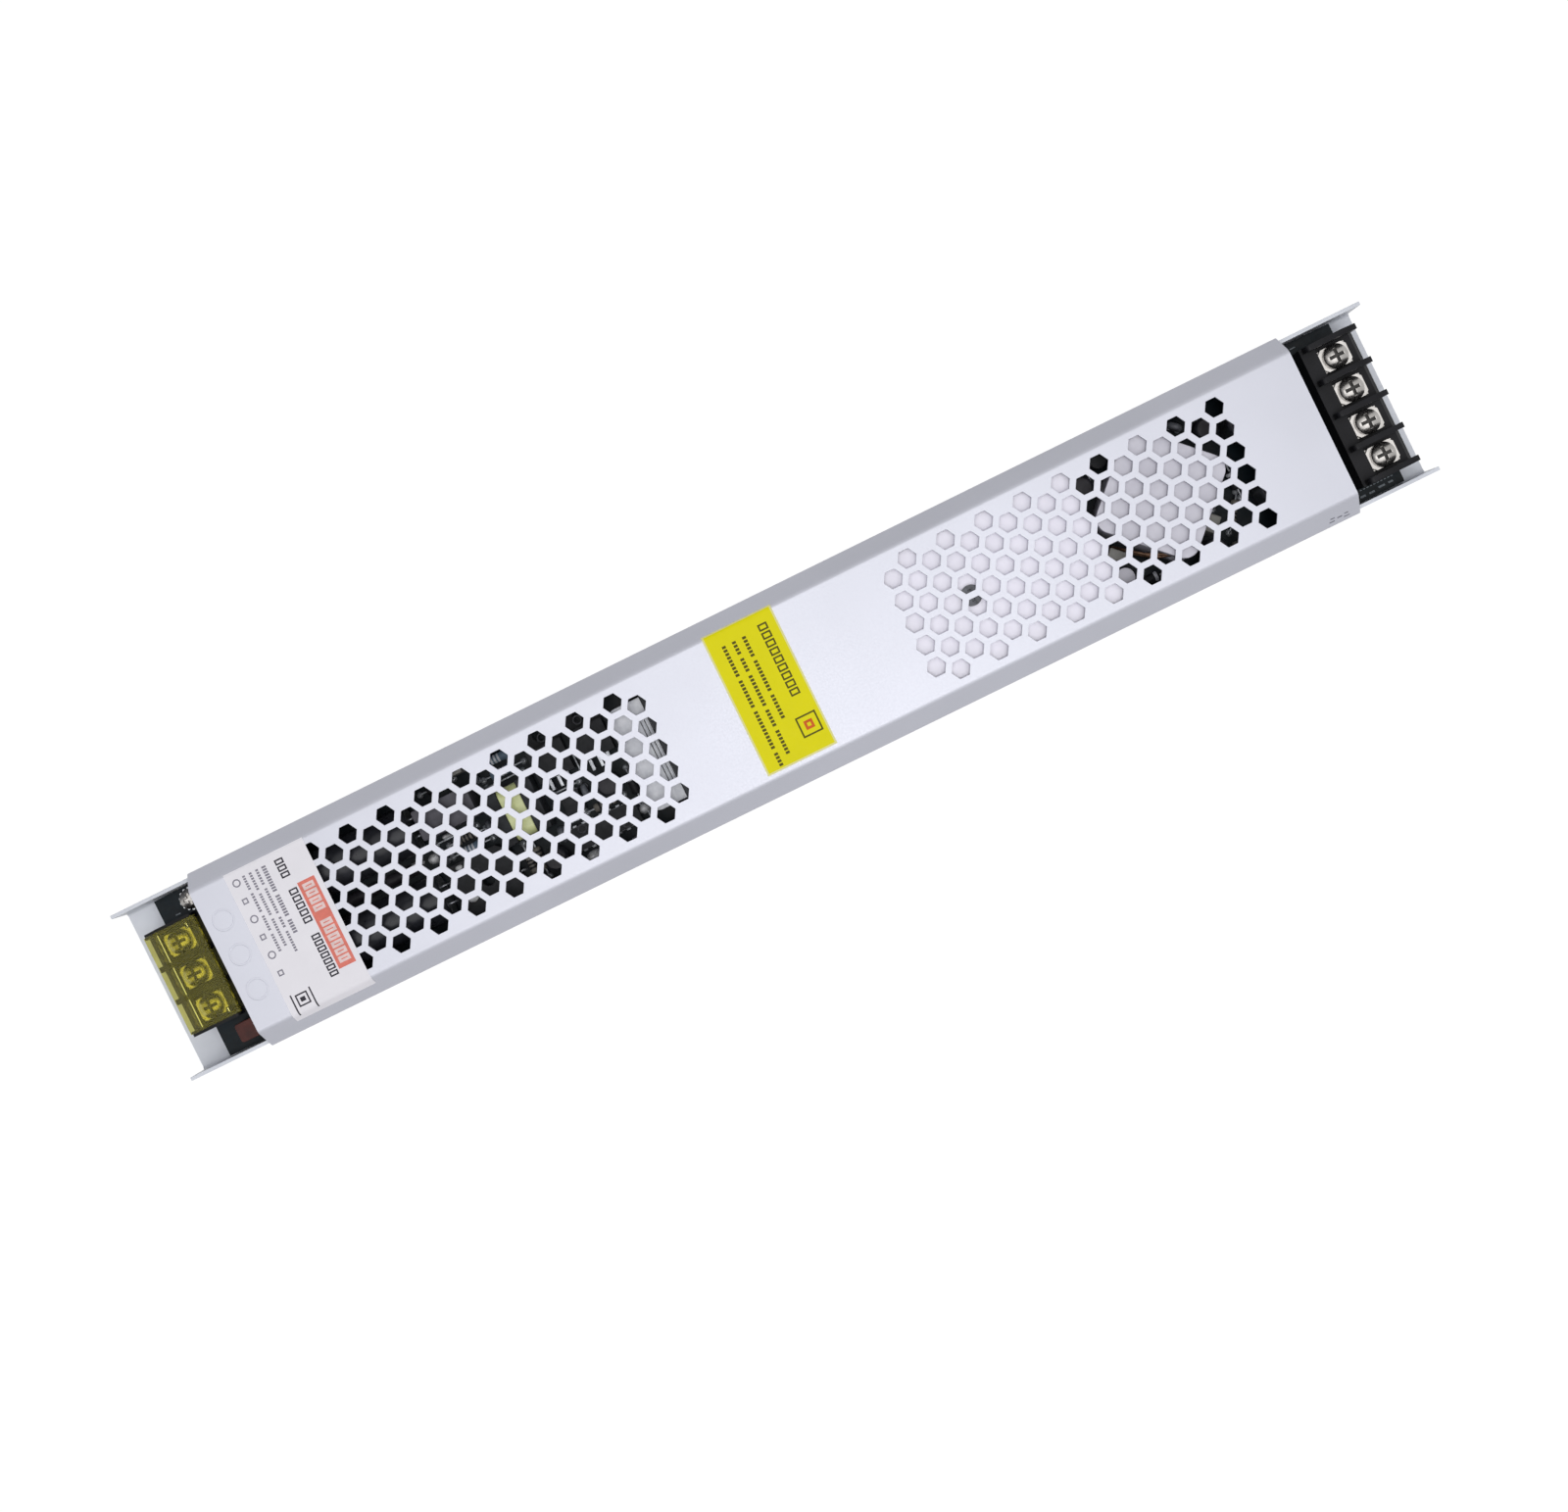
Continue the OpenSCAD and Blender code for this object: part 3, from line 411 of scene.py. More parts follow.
@cache
def insulating_card():
    """Pressed insulating card: off-white and fibrous."""
    return finish("insulating_card", pair("#e2e1da", "#efeee9"), (0.55, 0.7), 0.6, 0.02, 3)


@cache
def silicone_bead():
    """Set silicone: milky white, soft and rounded."""
    return finish("silicone_bead", pair("#f0f0f2", "#fafafa"), (0.3, 0.42), 1.2, 0.04, 2)


@cache
def sticker_film(name, colour):
    """Coated sticker paper: even and satin, with a trace of the sheet beneath."""
    tones = shades(colour, 0.97, 1.01)
    return finish("sticker_" + name, tones, (0.46, 0.56), 0.8, 0.003, 9, specular_ior_level=0.12)


@cache
def sticker_ink(name, colour):
    """Screen ink: dense, slightly patchy at its edges."""
    tones = shades(colour, 0.9, 1.08)
    return finish("ink_" + name, tones, (0.46, 0.56), 0.5, 0.003, 1.2, specular_ior_level=0.12)


# Modelling


def pick(*objects):
    """Select these objects alone, with the first active, or none."""
    bpy.ops.object.select_all(action="DESELECT")
    for obj in objects:
        obj.select_set(True)
    if objects:
        bpy.context.view_layer.objects.active = objects[0]


@contextmanager
def editing(obj):
    """Edit one object with all of its mesh selected."""
    pick(obj)
    bpy.ops.object.mode_set(mode="EDIT")
    bpy.ops.mesh.select_all(action="SELECT")
    yield
    bpy.ops.object.mode_set(mode="OBJECT")


def modify(obj, kind, **settings):
    """Add a modifier with its settings, apply it and hand the object back."""
    pick(obj)
    modifier = obj.modifiers.new(kind.lower(), kind)
    for key, value in settings.items():
        setattr(modifier, key, value)
    bpy.ops.object.modifier_apply(modifier=modifier.name)
    return obj


def rounded(obj, width, angle=40):
    """Round the edges that turn by more than an angle in degrees."""
    return modify(obj, "BEVEL", width=width, segments=2, limit_method="ANGLE",
                  angle_limit=math.radians(angle))


def place_in_mesh(obj):
    """Move the object's place, turn and scale into its mesh."""
    pick(obj)
    bpy.ops.object.transform_apply(location=True, rotation=True, scale=True)
    return obj


def joined(objects):
    """Join objects into the first of them."""
    pick(*objects)
    if len(objects) > 1:
        bpy.ops.object.join()
    return bpy.context.object


def coated(obj, *materials):
    """Give a new piece its materials."""
    for material in materials:
        obj.data.materials.append(material)
    return obj


def panel(centre, size_x, size_y):
    """A flat rectangle."""
    pick()
    bpy.ops.mesh.primitive_plane_add(size=1, location=centre)
    bpy.context.object.scale = (size_x, size_y, 1)
    return place_in_mesh(bpy.context.object)


def block(size, centre, edge):
    """A box with rounded edges."""
    pick()
    bpy.ops.mesh.primitive_cube_add(size=1, location=centre, scale=size)
    made = place_in_mesh(bpy.context.object)
    with editing(made):
        bpy.ops.mesh.bevel(offset=edge, segments=2, affect="EDGES")
    return made


def rod(radius, size, centre, edge, sides, turn=(0, 0, 0)):
    """A round rod with rounded ends, along Z before its turn."""
    pick()
    bpy.ops.mesh.primitive_cylinder_add(
        vertices=sides, radius=radius, depth=size, location=centre, rotation=turn
    )
    return rounded(place_in_mesh(bpy.context.object), edge, angle=50)


def bead(centre, size):
    """A rounded drop that sits on what is under it."""
    pick()
    bpy.ops.mesh.primitive_uv_sphere_add(segments=20, ring_count=12, radius=0.5, location=centre, scale=size)
    made = place_in_mesh(bpy.context.object)
    with editing(made):
        bpy.ops.mesh.bisect(plane_co=centre, plane_no=(0, 0, -1), clear_outer=True, use_fill=True)
    return made


def wire(points, radius, material):
    """A bent wire through these points."""
    curve = bpy.data.curves.new("wire", "CURVE")
    curve.dimensions = "3D"
    curve.bevel_depth = radius
    curve.bevel_resolution = 2
    curve.use_fill_caps = True
    spline = curve.splines.new("POLY")
    spline.points.add(len(points) - 1)
    for point, place in zip(spline.points, points):
        point.co = (*place, 1)
    made = bpy.data.objects.new("wire", curve)
    bpy.context.scene.collection.objects.link(made)
    pick(made)
    bpy.ops.object.convert(target="MESH")
    return coated(bpy.context.object, material)


def smooth(obj, angle=32):
    """Shade curved faces as round, and keep flat faces flat."""
    pick(obj)
    bpy.ops.object.shade_smooth_by_angle(angle=math.radians(angle))
    return modify(obj, "WEIGHTED_NORMAL", keep_sharp=True, weight=90)


def put(obj, name, body, slot, *materials):
    """Name a new piece, give it its materials and set it on its body."""
    obj.name = name
    obj.data.name = name
    if materials:
        obj.data.materials.clear()
        coated(obj, *materials)
    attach(obj, body)
    return obj


def lay(name, pieces, *materials):
    """Join new pieces into one on the case, under one name."""
    return put(joined(pieces), name, "case", None, *materials)


def paint(obj, index, test):
    """Give a material to the faces that pass a test on their centre and normal."""
    for face in obj.data.polygons:
        if test(face.center, face.normal):
            face.material_index = index


def merged_copy(node):
    """A copy of a node's mesh with its loose triangles merged into whole faces."""
    made = bpy.data.objects.new(node + "_piece", frame["nodes"][node].data.copy())
    bpy.context.scene.collection.objects.link(made)
    with editing(made):
        bpy.ops.mesh.customdata_custom_splitnormals_clear()
        bpy.ops.mesh.remove_doubles(threshold=0.001 * MM)
        bpy.ops.mesh.dissolve_limited(angle_limit=math.radians(0.5))
    return made


def dress(node, edge, *materials, split=False):
    """Stand a copy with rounded edges in for a node, with crowded faces split first."""
    made = merged_copy(node)
    if split:
        modify(made, "TRIANGULATE", min_vertices=5)
    if edge:
        rounded(made, edge)
    return stand_in(smooth(made), node, *materials)


def stand_in(made, node, *materials):
    """Set a finished piece on its node's body, in place of the node."""
    source = frame["nodes"][node]
    put(made, node + "_piece", source["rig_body"], source.data.materials[0].name, *materials)
    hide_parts(node)
    return made


# Case


class SUPPLY_OT_channel(bpy.types.Operator):
    """Finish the folded base channel, its insulating card and the screws in its walls"""

    bl_idname = "supply.channel"
    bl_label = "Base channel"

    def execute(self, context):
        dress("base_channel", case().sheet_edge, rolled_aluminium())
        dress("insulating_sheet", 0, insulating_card())
        dress("cover_screws", parts().metal_edge, zinc_plate())
        return {"FINISHED"}


class SUPPLY_OT_cover(bpy.types.Operator):
    """Finish the perforated cover with rounded punched edges"""

    bl_idname = "supply.cover"
    bl_label = "Perforated cover"

    def execute(self, context):
        dress("top_cover", case().hole_edge, blasted_aluminium())
        return {"FINISHED"}


def on_cover(reach, lift):
    """Place in Y and Z on the cover's skin, by the distance from the middle line along the sheet."""
    half, drop, radius = case().flat_width / 2, case().shoulder_drop, case().fold_radius
    slope = math.atan2(drop, COVER_HIGH.y - half)
    flat = half - radius * math.tan(slope / 2)
    past = abs(reach) - flat
    angle = min(max(past / radius, 0), slope)
    down = max(past - radius * slope, 0)
    y = min(abs(reach), flat) + radius * math.sin(angle) + down * math.cos(slope) + lift * math.sin(angle)
    z = COVER_HIGH.z - radius * (1 - math.cos(angle)) - down * math.sin(slope) + lift * math.cos(angle)
    return math.copysign(y, reach), z


def film(x0, x1, reach0, reach1, lift, thickness):
    """A thin field laid on the cover, which follows its folds."""
    reach0, reach1 = sorted((reach0, reach1))
    flat = case().flat_width / 2 - case().fold_radius
    bends = max(abs(reach0), abs(reach1)) > flat
    # short steps keep the film on the round of a fold
    step = 0.25 * MM
    steps = max(1, round((reach1 - reach0) / step)) if bends else 1
    pick()
    bpy.ops.mesh.primitive_grid_add(x_subdivisions=1, y_subdivisions=steps, size=1)
    made = bpy.context.object
    for vertex in made.data.vertices:
        x = x0 + (vertex.co.x + 0.5) * (x1 - x0)
        reach = reach0 + (vertex.co.y + 0.5) * (reach1 - reach0)
        vertex.co = (x, *on_cover(reach, lift))
    return modify(made, "SOLIDIFY", thickness=thickness, offset=1.0)


def ring(x, reach, radius, width, lift, sides=4):
    """A thin printed frame or ring laid on the cover's flat top."""
    pick()
    bpy.ops.mesh.primitive_circle_add(
        vertices=sides, radius=radius, fill_type="NGON", location=(x, reach, COVER_HIGH.z + lift),
        rotation=(0, 0, math.pi / sides)
    )
    return hollow(place_in_mesh(bpy.context.object), width)


def hollow(made, width):
    """Leave the outline of a flat printed shape, with the thickness of ink."""
    with editing(made):
        bpy.ops.mesh.inset(thickness=width)
        bpy.ops.mesh.delete(type="FACE")
    return modify(made, "SOLIDIFY", thickness=stickers().ink, offset=1.0)


def words(x0, x1, top, lengths, gap, lift, letter, line=0.0):
    """A row of plain dashes or hollow blocks, grouped as the words of a line of print, from the top down."""
    block_share, dash_share = 0.8, 0.68
    made, reach = [], top
    for size in lengths:
        count = max(1, round(size / letter))
        step = size / count
        if line:
            centre = ((x0 + x1) / 2, reach - block_share / 2 * step, COVER_HIGH.z + lift)
            dash = hollow(panel(centre, x1 - x0, block_share * step), line)
        else:
            dash = film(x0, x1, reach, reach - dash_share * step, lift, stickers().ink)
        made.append(modify(dash, "ARRAY", count=count, use_relative_offset=False, use_constant_offset=True,
                           constant_offset_displace=(0, -step, 0)))
        reach -= size + gap
    return made


def sizes(*lengths):
    """Lengths in metres, from millimetres."""
    return [size * MM for size in lengths]


class SUPPLY_OT_white_sticker(bpy.types.Operator):
    """Lay the white sticker over the cover's edge, with plain bars and shapes for its print"""

    bl_idname = "supply.white_sticker"
    bl_label = "White sticker"

    def back(self, distance):
        """A place along the case, by its distance in millimetres from the sticker's output edge."""
        return stickers().white_end - distance * MM

    def execute(self, context):
        s = stickers()
        back = self.back
        sheet = film(s.white_start, s.white_end, s.white_top, -s.white_foot, TACK, s.film)
        lay("white_sticker", [sheet], sticker_film("white", s.white_tone))
        lift = s.film + TACK
        red = film(back(6.4), back(1.5), 10.1 * MM, -14.8 * MM, lift, s.ink)
        lay("red_field", [red], sticker_ink("red", s.red_tone))
        pale = words(back(5.5), back(2.3), 9.2 * MM, sizes(8.4, 12.6), 2.2 * MM, lift + s.ink, 2.1 * MM,
                     line=0.7 * MM)
        lay("pale_blocks", pale, sticker_ink("pale", linear("#f2d8d4")))
        title = words(back(9.3), back(6.9), 18 * MM, sizes(5.6, 10.2, 12.4), 3 * MM, lift, 1.9 * MM,
                      line=0.42 * MM)
        lay("title_blocks", title + self.square(lift), sticker_ink("dark", s.dark_tone))
        lay("fine_bars", self.fine_print(lift), sticker_ink("grey", s.grey_tone))
        return {"FINISHED"}

    def square(self, lift):
        """A square with a dark middle between two lines."""
        back, ink = self.back, stickers().ink
        lines = [film(back(far), back(far - 0.4), -15.4 * MM, -21.4 * MM, lift, ink) for far in (21.3, 15.9)]
        rim = ring(back(18.4), -17.6 * MM, 2.4 * MM, 0.4 * MM, lift)
        return [*lines, rim, film(back(19.1), back(17.7), -17.0 * MM, -18.2 * MM, lift, ink)]

    def fine_print(self, lift):
        """Lines of short bars, and a row of rings and squares."""
        made = []
        for near, height, lengths in (
            (11.8, 1.2, (7.5, 6.2, 4)),
            (14.0, 0.75, (4.6, 7.4, 3.2, 6)),
            (15.9, 0.75, (5.2, 6.4, 8)),
            (17.8, 0.75, (4.2, 5.6, 4.4, 5.2)),
        ):
            made += words(self.back(near + height), self.back(near), 18 * MM, sizes(*lengths), 0.9 * MM, lift,
                          0.75 * MM)
        for i in range(6):
            sides = 20 if i % 2 == 0 else 4
            made.append(ring(self.back(20.6), (17 - 5.2 * i) * MM, 1.1 * MM, 0.35 * MM, lift, sides))
        return made


class SUPPLY_OT_yellow_sticker(bpy.types.Operator):
    """Lay the yellow sticker across the middle of the cover, with plain bars for its print"""

    bl_idname = "supply.yellow_sticker"
    bl_label = "Yellow sticker"

    def execute(self, context):
        s = stickers()
        x0 = s.yellow_middle - s.yellow_length / 2
        x1 = s.yellow_middle + s.yellow_length / 2
        sheet = film(x0, x1, s.yellow_top, -s.yellow_foot, TACK, s.film)
        lay("yellow_sticker", [sheet], sticker_film("pale_yellow", s.border_tone))
        lift = s.film + TACK
        rim = 0.5 * MM
        field = film(x0 + rim, x1 - rim, s.yellow_top - rim, rim - s.yellow_foot, lift, s.ink)
        lay("yellow_field", [field], sticker_film("yellow", s.yellow_tone))
        lift += s.ink
        bars = words(x1 - 5.4 * MM, x1 - 2.8 * MM, 17.4 * MM, sizes(21), 0, lift, 2.3 * MM, line=0.45 * MM)
        for near, lengths in ((9.2, (6, 9, 7)), (12.1, (4, 4, 9, 5, 7)), (15, (9, 8, 11, 4))):
            bars += words(x1 - (near + 1.05) * MM, x1 - near * MM, 16.4 * MM, sizes(*lengths), 0.9 * MM, lift,
                          1.0 * MM)
        spot_x, spot_y = x1 - 4.4 * MM, -11.4 * MM
        bars.append(ring(spot_x, spot_y, 4.0 * MM, 0.45 * MM, lift))
        lay("yellow_bars", bars, sticker_ink("olive", linear("#5a551a")))
        spot = ring(spot_x, spot_y, 1.7 * MM, 0.7 * MM, lift)
        lay("orange_spot", [spot], sticker_ink("orange", linear("#d9662a")))
        return {"FINISHED"}


# Terminals


def threaded_screw(node):
    """A terminal screw with its thread cut into the shank, short of its foot and its neck."""
    plain_foot, plain_neck = 0.3 * MM, 1.9 * MM
    made = merged_copy(node)
    low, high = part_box(node)
    axis = (low + high) / 2
    head_radius = (high.x - low.x) / 2
    points = made.data.vertices
    shank = min((v.co.xy - axis.xy).length for v in points if v.co.z < low.z + 0.1 * MM)
    core = shank - parts().thread_depth
    under_head = min(v.co.z for v in points if (v.co.xy - axis.xy).length > 0.9 * head_radius)
    for v in points:
        out = v.co.xy - axis.xy
        if v.co.z < under_head - TACK and out.length > 0.9 * shank:
            v.co.xy = axis.xy + out * core / out.length
    rounded(made, parts().metal_edge)
    ridge = thread(axis, core, shank, low.z + plain_foot, under_head - plain_neck)
    return smooth(joined([made, ridge]))


def thread(axis, core, crest, low, high):
    """A helical ridge round an upright shank."""
    pitch = parts().thread_pitch
    turns = math.floor((high - low) / pitch)
    root, flank = core - 0.05 * MM, 0.42 * pitch
    pick()
    bpy.ops.mesh.primitive_circle_add(vertices=3, radius=1)
    made = bpy.context.object
    for vertex, (radius, z) in zip(made.data.vertices, ((root, -flank), (crest, 0), (root, flank))):
        vertex.co = (radius, 0, z)
    modify(made, "SCREW", angle=math.tau, screw_offset=pitch, iterations=turns, steps=20, render_steps=20,
           use_merge_vertices=False)
    with editing(made):
        bpy.ops.mesh.select_all(action="DESELECT")
        bpy.ops.mesh.select_mode(type="EDGE")
        bpy.ops.mesh.select_non_manifold()
        bpy.ops.mesh.edge_face_add()
        bpy.ops.mesh.select_all(action="SELECT")
        bpy.ops.mesh.normals_make_consistent(inside=False)
    made.location = (axis.x, axis.y, low)
    return place_in_mesh(made)


class SUPPLY_OT_terminals(bpy.types.Operator):
    """Finish both terminal blocks, their contact plates, clamps and threaded screws"""

    bl_idname = "supply.terminals"
    bl_label = "Terminals"

    def paint_recess_shade(self, made, low, high):
        """Give the floor and walls of a screw's cross recess the dark nickel that is painted shade."""
        axis = ((low + high) / 2).xy
        reach = 0.3 * (high.x - low.x)
        floor, rim = high.z - 1.4 * MM, high.z - 0.3 * MM
        paint(made, 1, lambda centre, normal: (centre.xy - axis).length < reach and floor < centre.z < rim)

    def execute(self, context):
        for end in ("input", "output"):
            dress(end + "_terminal_block", parts().moulded_edge, moulded_polyester(), split=True)
            dress(end + "_contact_plates", parts().metal_edge, nickel_plate())
        for node in sorted(frame["nodes"]):
            if "_clamp_" in node:
                dress(node, parts().metal_edge, nickel_plate())
            if "_screw_" in node and node[-1].isdigit():
                # the screws' second finish is painted shade in their cross recesses
                made = stand_in(threaded_screw(node), node, nickel_plate(), recess_shade_nickel())
                self.paint_recess_shade(made, *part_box(node))
        return {"FINISHED"}


class SUPPLY_OT_flap(bpy.types.Operator):
    """Finish the clear hinged flap over the input terminals"""

    bl_idname = "supply.flap"
    bl_label = "Clear flap"

    def execute(self, context):
        dress("input_flap", 0.15 * MM, clear_polycarbonate())
        return {"FINISHED"}


# Board


class SUPPLY_OT_board(bpy.types.Operator):
    """Finish the circuit board with its standoffs, washers and screws"""

    bl_idname = "supply.board"
    bl_label = "Circuit board"

    def execute(self, context):
        dress("circuit_board", 0.1 * MM, board_lacquer())
        dress("board_standoffs", 0.1 * MM, turned_brass())
        dress("board_washers", 0.05 * MM, zinc_plate())
        dress("board_screws", parts().metal_edge, nickel_plate())
        return {"FINISHED"}


class SUPPLY_OT_mains_parts(bpy.types.Operator):
    """Finish the parts of the mains filter"""

    bl_idname = "supply.mains_parts"
    bl_label = "Mains filter"

    def execute(self, context):
        edge = parts().moulded_edge
        dress("fuse", edge, film_case("red", "#3b1c19", "#532721"))
        dress("thermistor", 0, dipped_epoxy("green", "#1d2a1b", "#2f3d29"))
        dress("varistor", 0, dipped_epoxy("blue", "#234d8d", "#3467b0"))
        dress("y_capacitors", 0, dipped_epoxy("sky", "#2a64a8", "#3a7ac0"))
        dress("x_capacitor", edge, film_case("yellow", "#bf9f33", "#d3b548"))
        dress("mains_choke_core", edge, sintered_ferrite())
        dress("mains_choke_windings", 0.2 * MM, enamelled_copper())
        return {"FINISHED"}


def can(node, up, end):
    """A capacitor in a sleeve, with its end in another finish."""
    made = dress(node, parts().metal_edge, shrunk_sleeve(), end)
    paint(made, 1, lambda centre, normal: normal.dot(up) > 0.9)
    return made


class SUPPLY_OT_converter_parts(bpy.types.Operator):
    """Finish the parts of the converter between the mains filter and the output"""

    bl_idname = "supply.converter_parts"
    bl_label = "Converter"

    def execute(self, context):
        edge = parts().moulded_edge
        can("bulk_capacitors", Vector((1, 0, 0)), zinc_plate())
        made = can("small_capacitors", Vector((0, 0, 1)), dark_case())
        made.data.materials.append(coated_ferrite())
        # one can by the output choke has a pale top
        near, far = 90 * MM, 100 * MM
        paint(made, 2, lambda centre, normal: normal.z > 0.9 and near < centre.x < far and centre.y < 0)
        dress("bleed_resistors", edge, dark_case())
        dress("bridge_rectifier", edge, moulded_epoxy())
        dress("coupling_capacitor", edge, film_case("slate_grey", "#47454c", "#5a5860"))
        dress("driver_core", edge, sintered_ferrite())
        dress("driver_winding", edge, lime_tape())
        for node in ("main_switches", "output_rectifiers"):
            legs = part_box(node)[0].y + 3 * MM
            made = dress(node, parts().metal_edge, moulded_epoxy(), tinned_wire())
            paint(made, 1, lambda centre, normal: centre.y < legs)
        for node in ("control_chip", "optocoupler"):
            low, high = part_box(node)
            made = dress(node, 0.05 * MM, moulded_epoxy(), tinned_wire())
            reach = (high.y - low.y) / 2 - 0.7 * MM
            middle = (high.y + low.y) / 2
            paint(made, 1, lambda centre, normal: abs(centre.y - middle) > reach)
        return {"FINISHED"}


class SUPPLY_OT_output_parts(bpy.types.Operator):
    """Finish the main transformer, the heat spreader and the output filter"""

    bl_idname = "supply.output_parts"
    bl_label = "Output"

    def tape_ridges_and_groove_shade(self):
        """Raise the tape over the wires that lie under its last turn, with thin dark wires between them as
        painted shade in the grooves.
        """
        start, step, reach = -33.6 * MM, 0.55 * MM, 8.6 * MM
        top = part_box("main_winding")[1].z - 0.05 * MM
        # the thin dark wires in blackened steel are painted shade in the grooves between the raised ridges
        groove_shade_and_ridge = ((0.16 * MM, blackened_steel()), (0.3 * MM, pale_tape()))
        ridges = []
        for i in range(5):
            radius, material = groove_shade_and_ridge[i % 2]
            points = [(start + step * i, side * reach, top) for side in (-1, -0.5, 0, 0.5, 1)]
            ridges.append(wire(points, radius, material))
        lay("tape_ridges_and_groove_shade", ridges)

    def execute(self, context):
        edge = parts().moulded_edge
        dress("main_core", edge, sintered_ferrite())
        dress("main_winding", edge, pale_tape())
        self.tape_ridges_and_groove_shade()
        dress("main_bobbin", edge, dark_case())
        dress("heat_spreader", case().sheet_edge, spreader_aluminium())
        dress("spreader_post", parts().metal_edge, turned_brass())
        dress("spreader_screw", parts().metal_edge, blackened_steel())
        dress("output_choke_core", 0.3 * MM, coated_ferrite())
        dress("output_choke_winding", edge, enamelled_copper())
        can("output_capacitors", Vector((0, 0, 1)), dark_case())
        return {"FINISHED"}


# Small parts


def scatter(name, made, places):
    """Lay copies of a piece on the board, by X and Y in millimetres and a turn in degrees, as one."""
    twins = []
    for x, y, turn in places:
        twin = made.copy()
        twin.data = made.data.copy()
        bpy.context.scene.collection.objects.link(twin)
        twin.location = (x * MM, y * MM, DECK)
        twin.rotation_euler.z = math.radians(turn)
        twins.append(place_in_mesh(twin))
    bpy.data.objects.remove(made)
    lay(name, twins)


def axial_part(radius, size, span, bands, body, print_colour):
    """A lying axial part with a waisted body, printed bands and bent leads, on its feet at Z 0."""
    lift = radius + 0.3 * MM
    made = rod(radius, size, (0, 0, lift), edge=0.4 * radius, sides=16, turn=LYING)
    waist, slim = 0.3 * size, 0.86
    with editing(made):
        for x in sorted({-waist, waist, *(edge for band in bands for edge in band)}):
            bpy.ops.mesh.select_all(action="SELECT")
            bpy.ops.mesh.bisect(plane_co=(x, 0, 0), plane_no=(1, 0, 0))
        bpy.ops.mesh.select_mode(type="VERT")
        bpy.ops.mesh.select_all(action="DESELECT")
        bpy.ops.object.mode_set(mode="OBJECT")
        for vertex in made.data.vertices:
            vertex.select = abs(vertex.co.x) < 0.98 * waist
        bpy.ops.object.mode_set(mode="EDIT")
        bpy.ops.transform.resize(value=(1, slim, slim), center_override=(0, 0, lift))
    smooth(coated(made, body, print_colour), angle=50)
    paint(made, 1, lambda centre, normal: any(low < centre.x < high for low, high in bands))
    lead, half = parts().lead_radius, span / 2
    pieces = [made]
    for side in (-1, 1):
        path = ((0.45 * size, lift), (half - 0.5 * MM, lift), (half - 0.1 * MM, lift - 0.2 * MM),
                (half, lift - 0.6 * MM), (half, 0))
        pieces.append(wire([(side * x, 0, z) for x, z in path], lead, tinned_wire()))
        pieces.append(solder(side * half))
    return joined(pieces)


def solder(x, y=0.0, z=0.0):
    """A cone of solder round the foot of a lead."""
    pick()
    bpy.ops.mesh.primitive_cone_add(vertices=14, radius1=0.95 * MM, radius2=0.4 * MM, depth=0.45 * MM,
                                    location=(x, y, z + 0.225 * MM))
    made = place_in_mesh(bpy.context.object)
    with editing(made):
        bpy.ops.mesh.bevel(offset=0.08 * MM, segments=2, affect="EDGES")
    return coated(smooth(made, angle=60), tinned_wire())


class SUPPLY_OT_axial_parts(bpy.types.Operator):
    """Lay the axial resistors and diodes on the board"""

    bl_idname = "supply.axial_parts"
    bl_label = "Resistors and diodes"

    def execute(self, context):
        tan = film_case("tan", "#76716a", "#8f8a83")
        blue = film_case("slate", "#5d6f80", "#74879a")
        bands = [(x * MM, (x + 0.55) * MM) for x in (-1.7, -0.7, 0.3, 1.5)]
        made = axial_part(1.15 * MM, 6.3 * MM, 11 * MM, bands, tan, moulded_epoxy())
        scatter("tan_resistors", made, (
            (-89.5, 1.6, 0), (-77.0, -12.0, 90), (-74.2, -12.0, 90), (-52.4, -6.6, 0), (130.0, -18.8, 0),
            (131.0, -10.5, 55), (97.5, 17.0, 0),
        ))
        made = axial_part(1.4 * MM, 7 * MM, 12 * MM, bands[:3], blue, pale_tape())
        scatter("slate_resistors", made, ((-89.5, -1.6, 0), (-73.0, 13.2, 0), (-73.0, 17.0, 0)))
        made = axial_part(1.35 * MM, 5.2 * MM, 10 * MM, [(1.2 * MM, 2 * MM)], moulded_epoxy(), pale_tape())
        scatter("diodes", made, ((-43.3, -5.4, 90), (-91.0, 17.2, 0), (134.6, -3.0, 90), (103.5, -16.8, 0)))
        return {"FINISHED"}


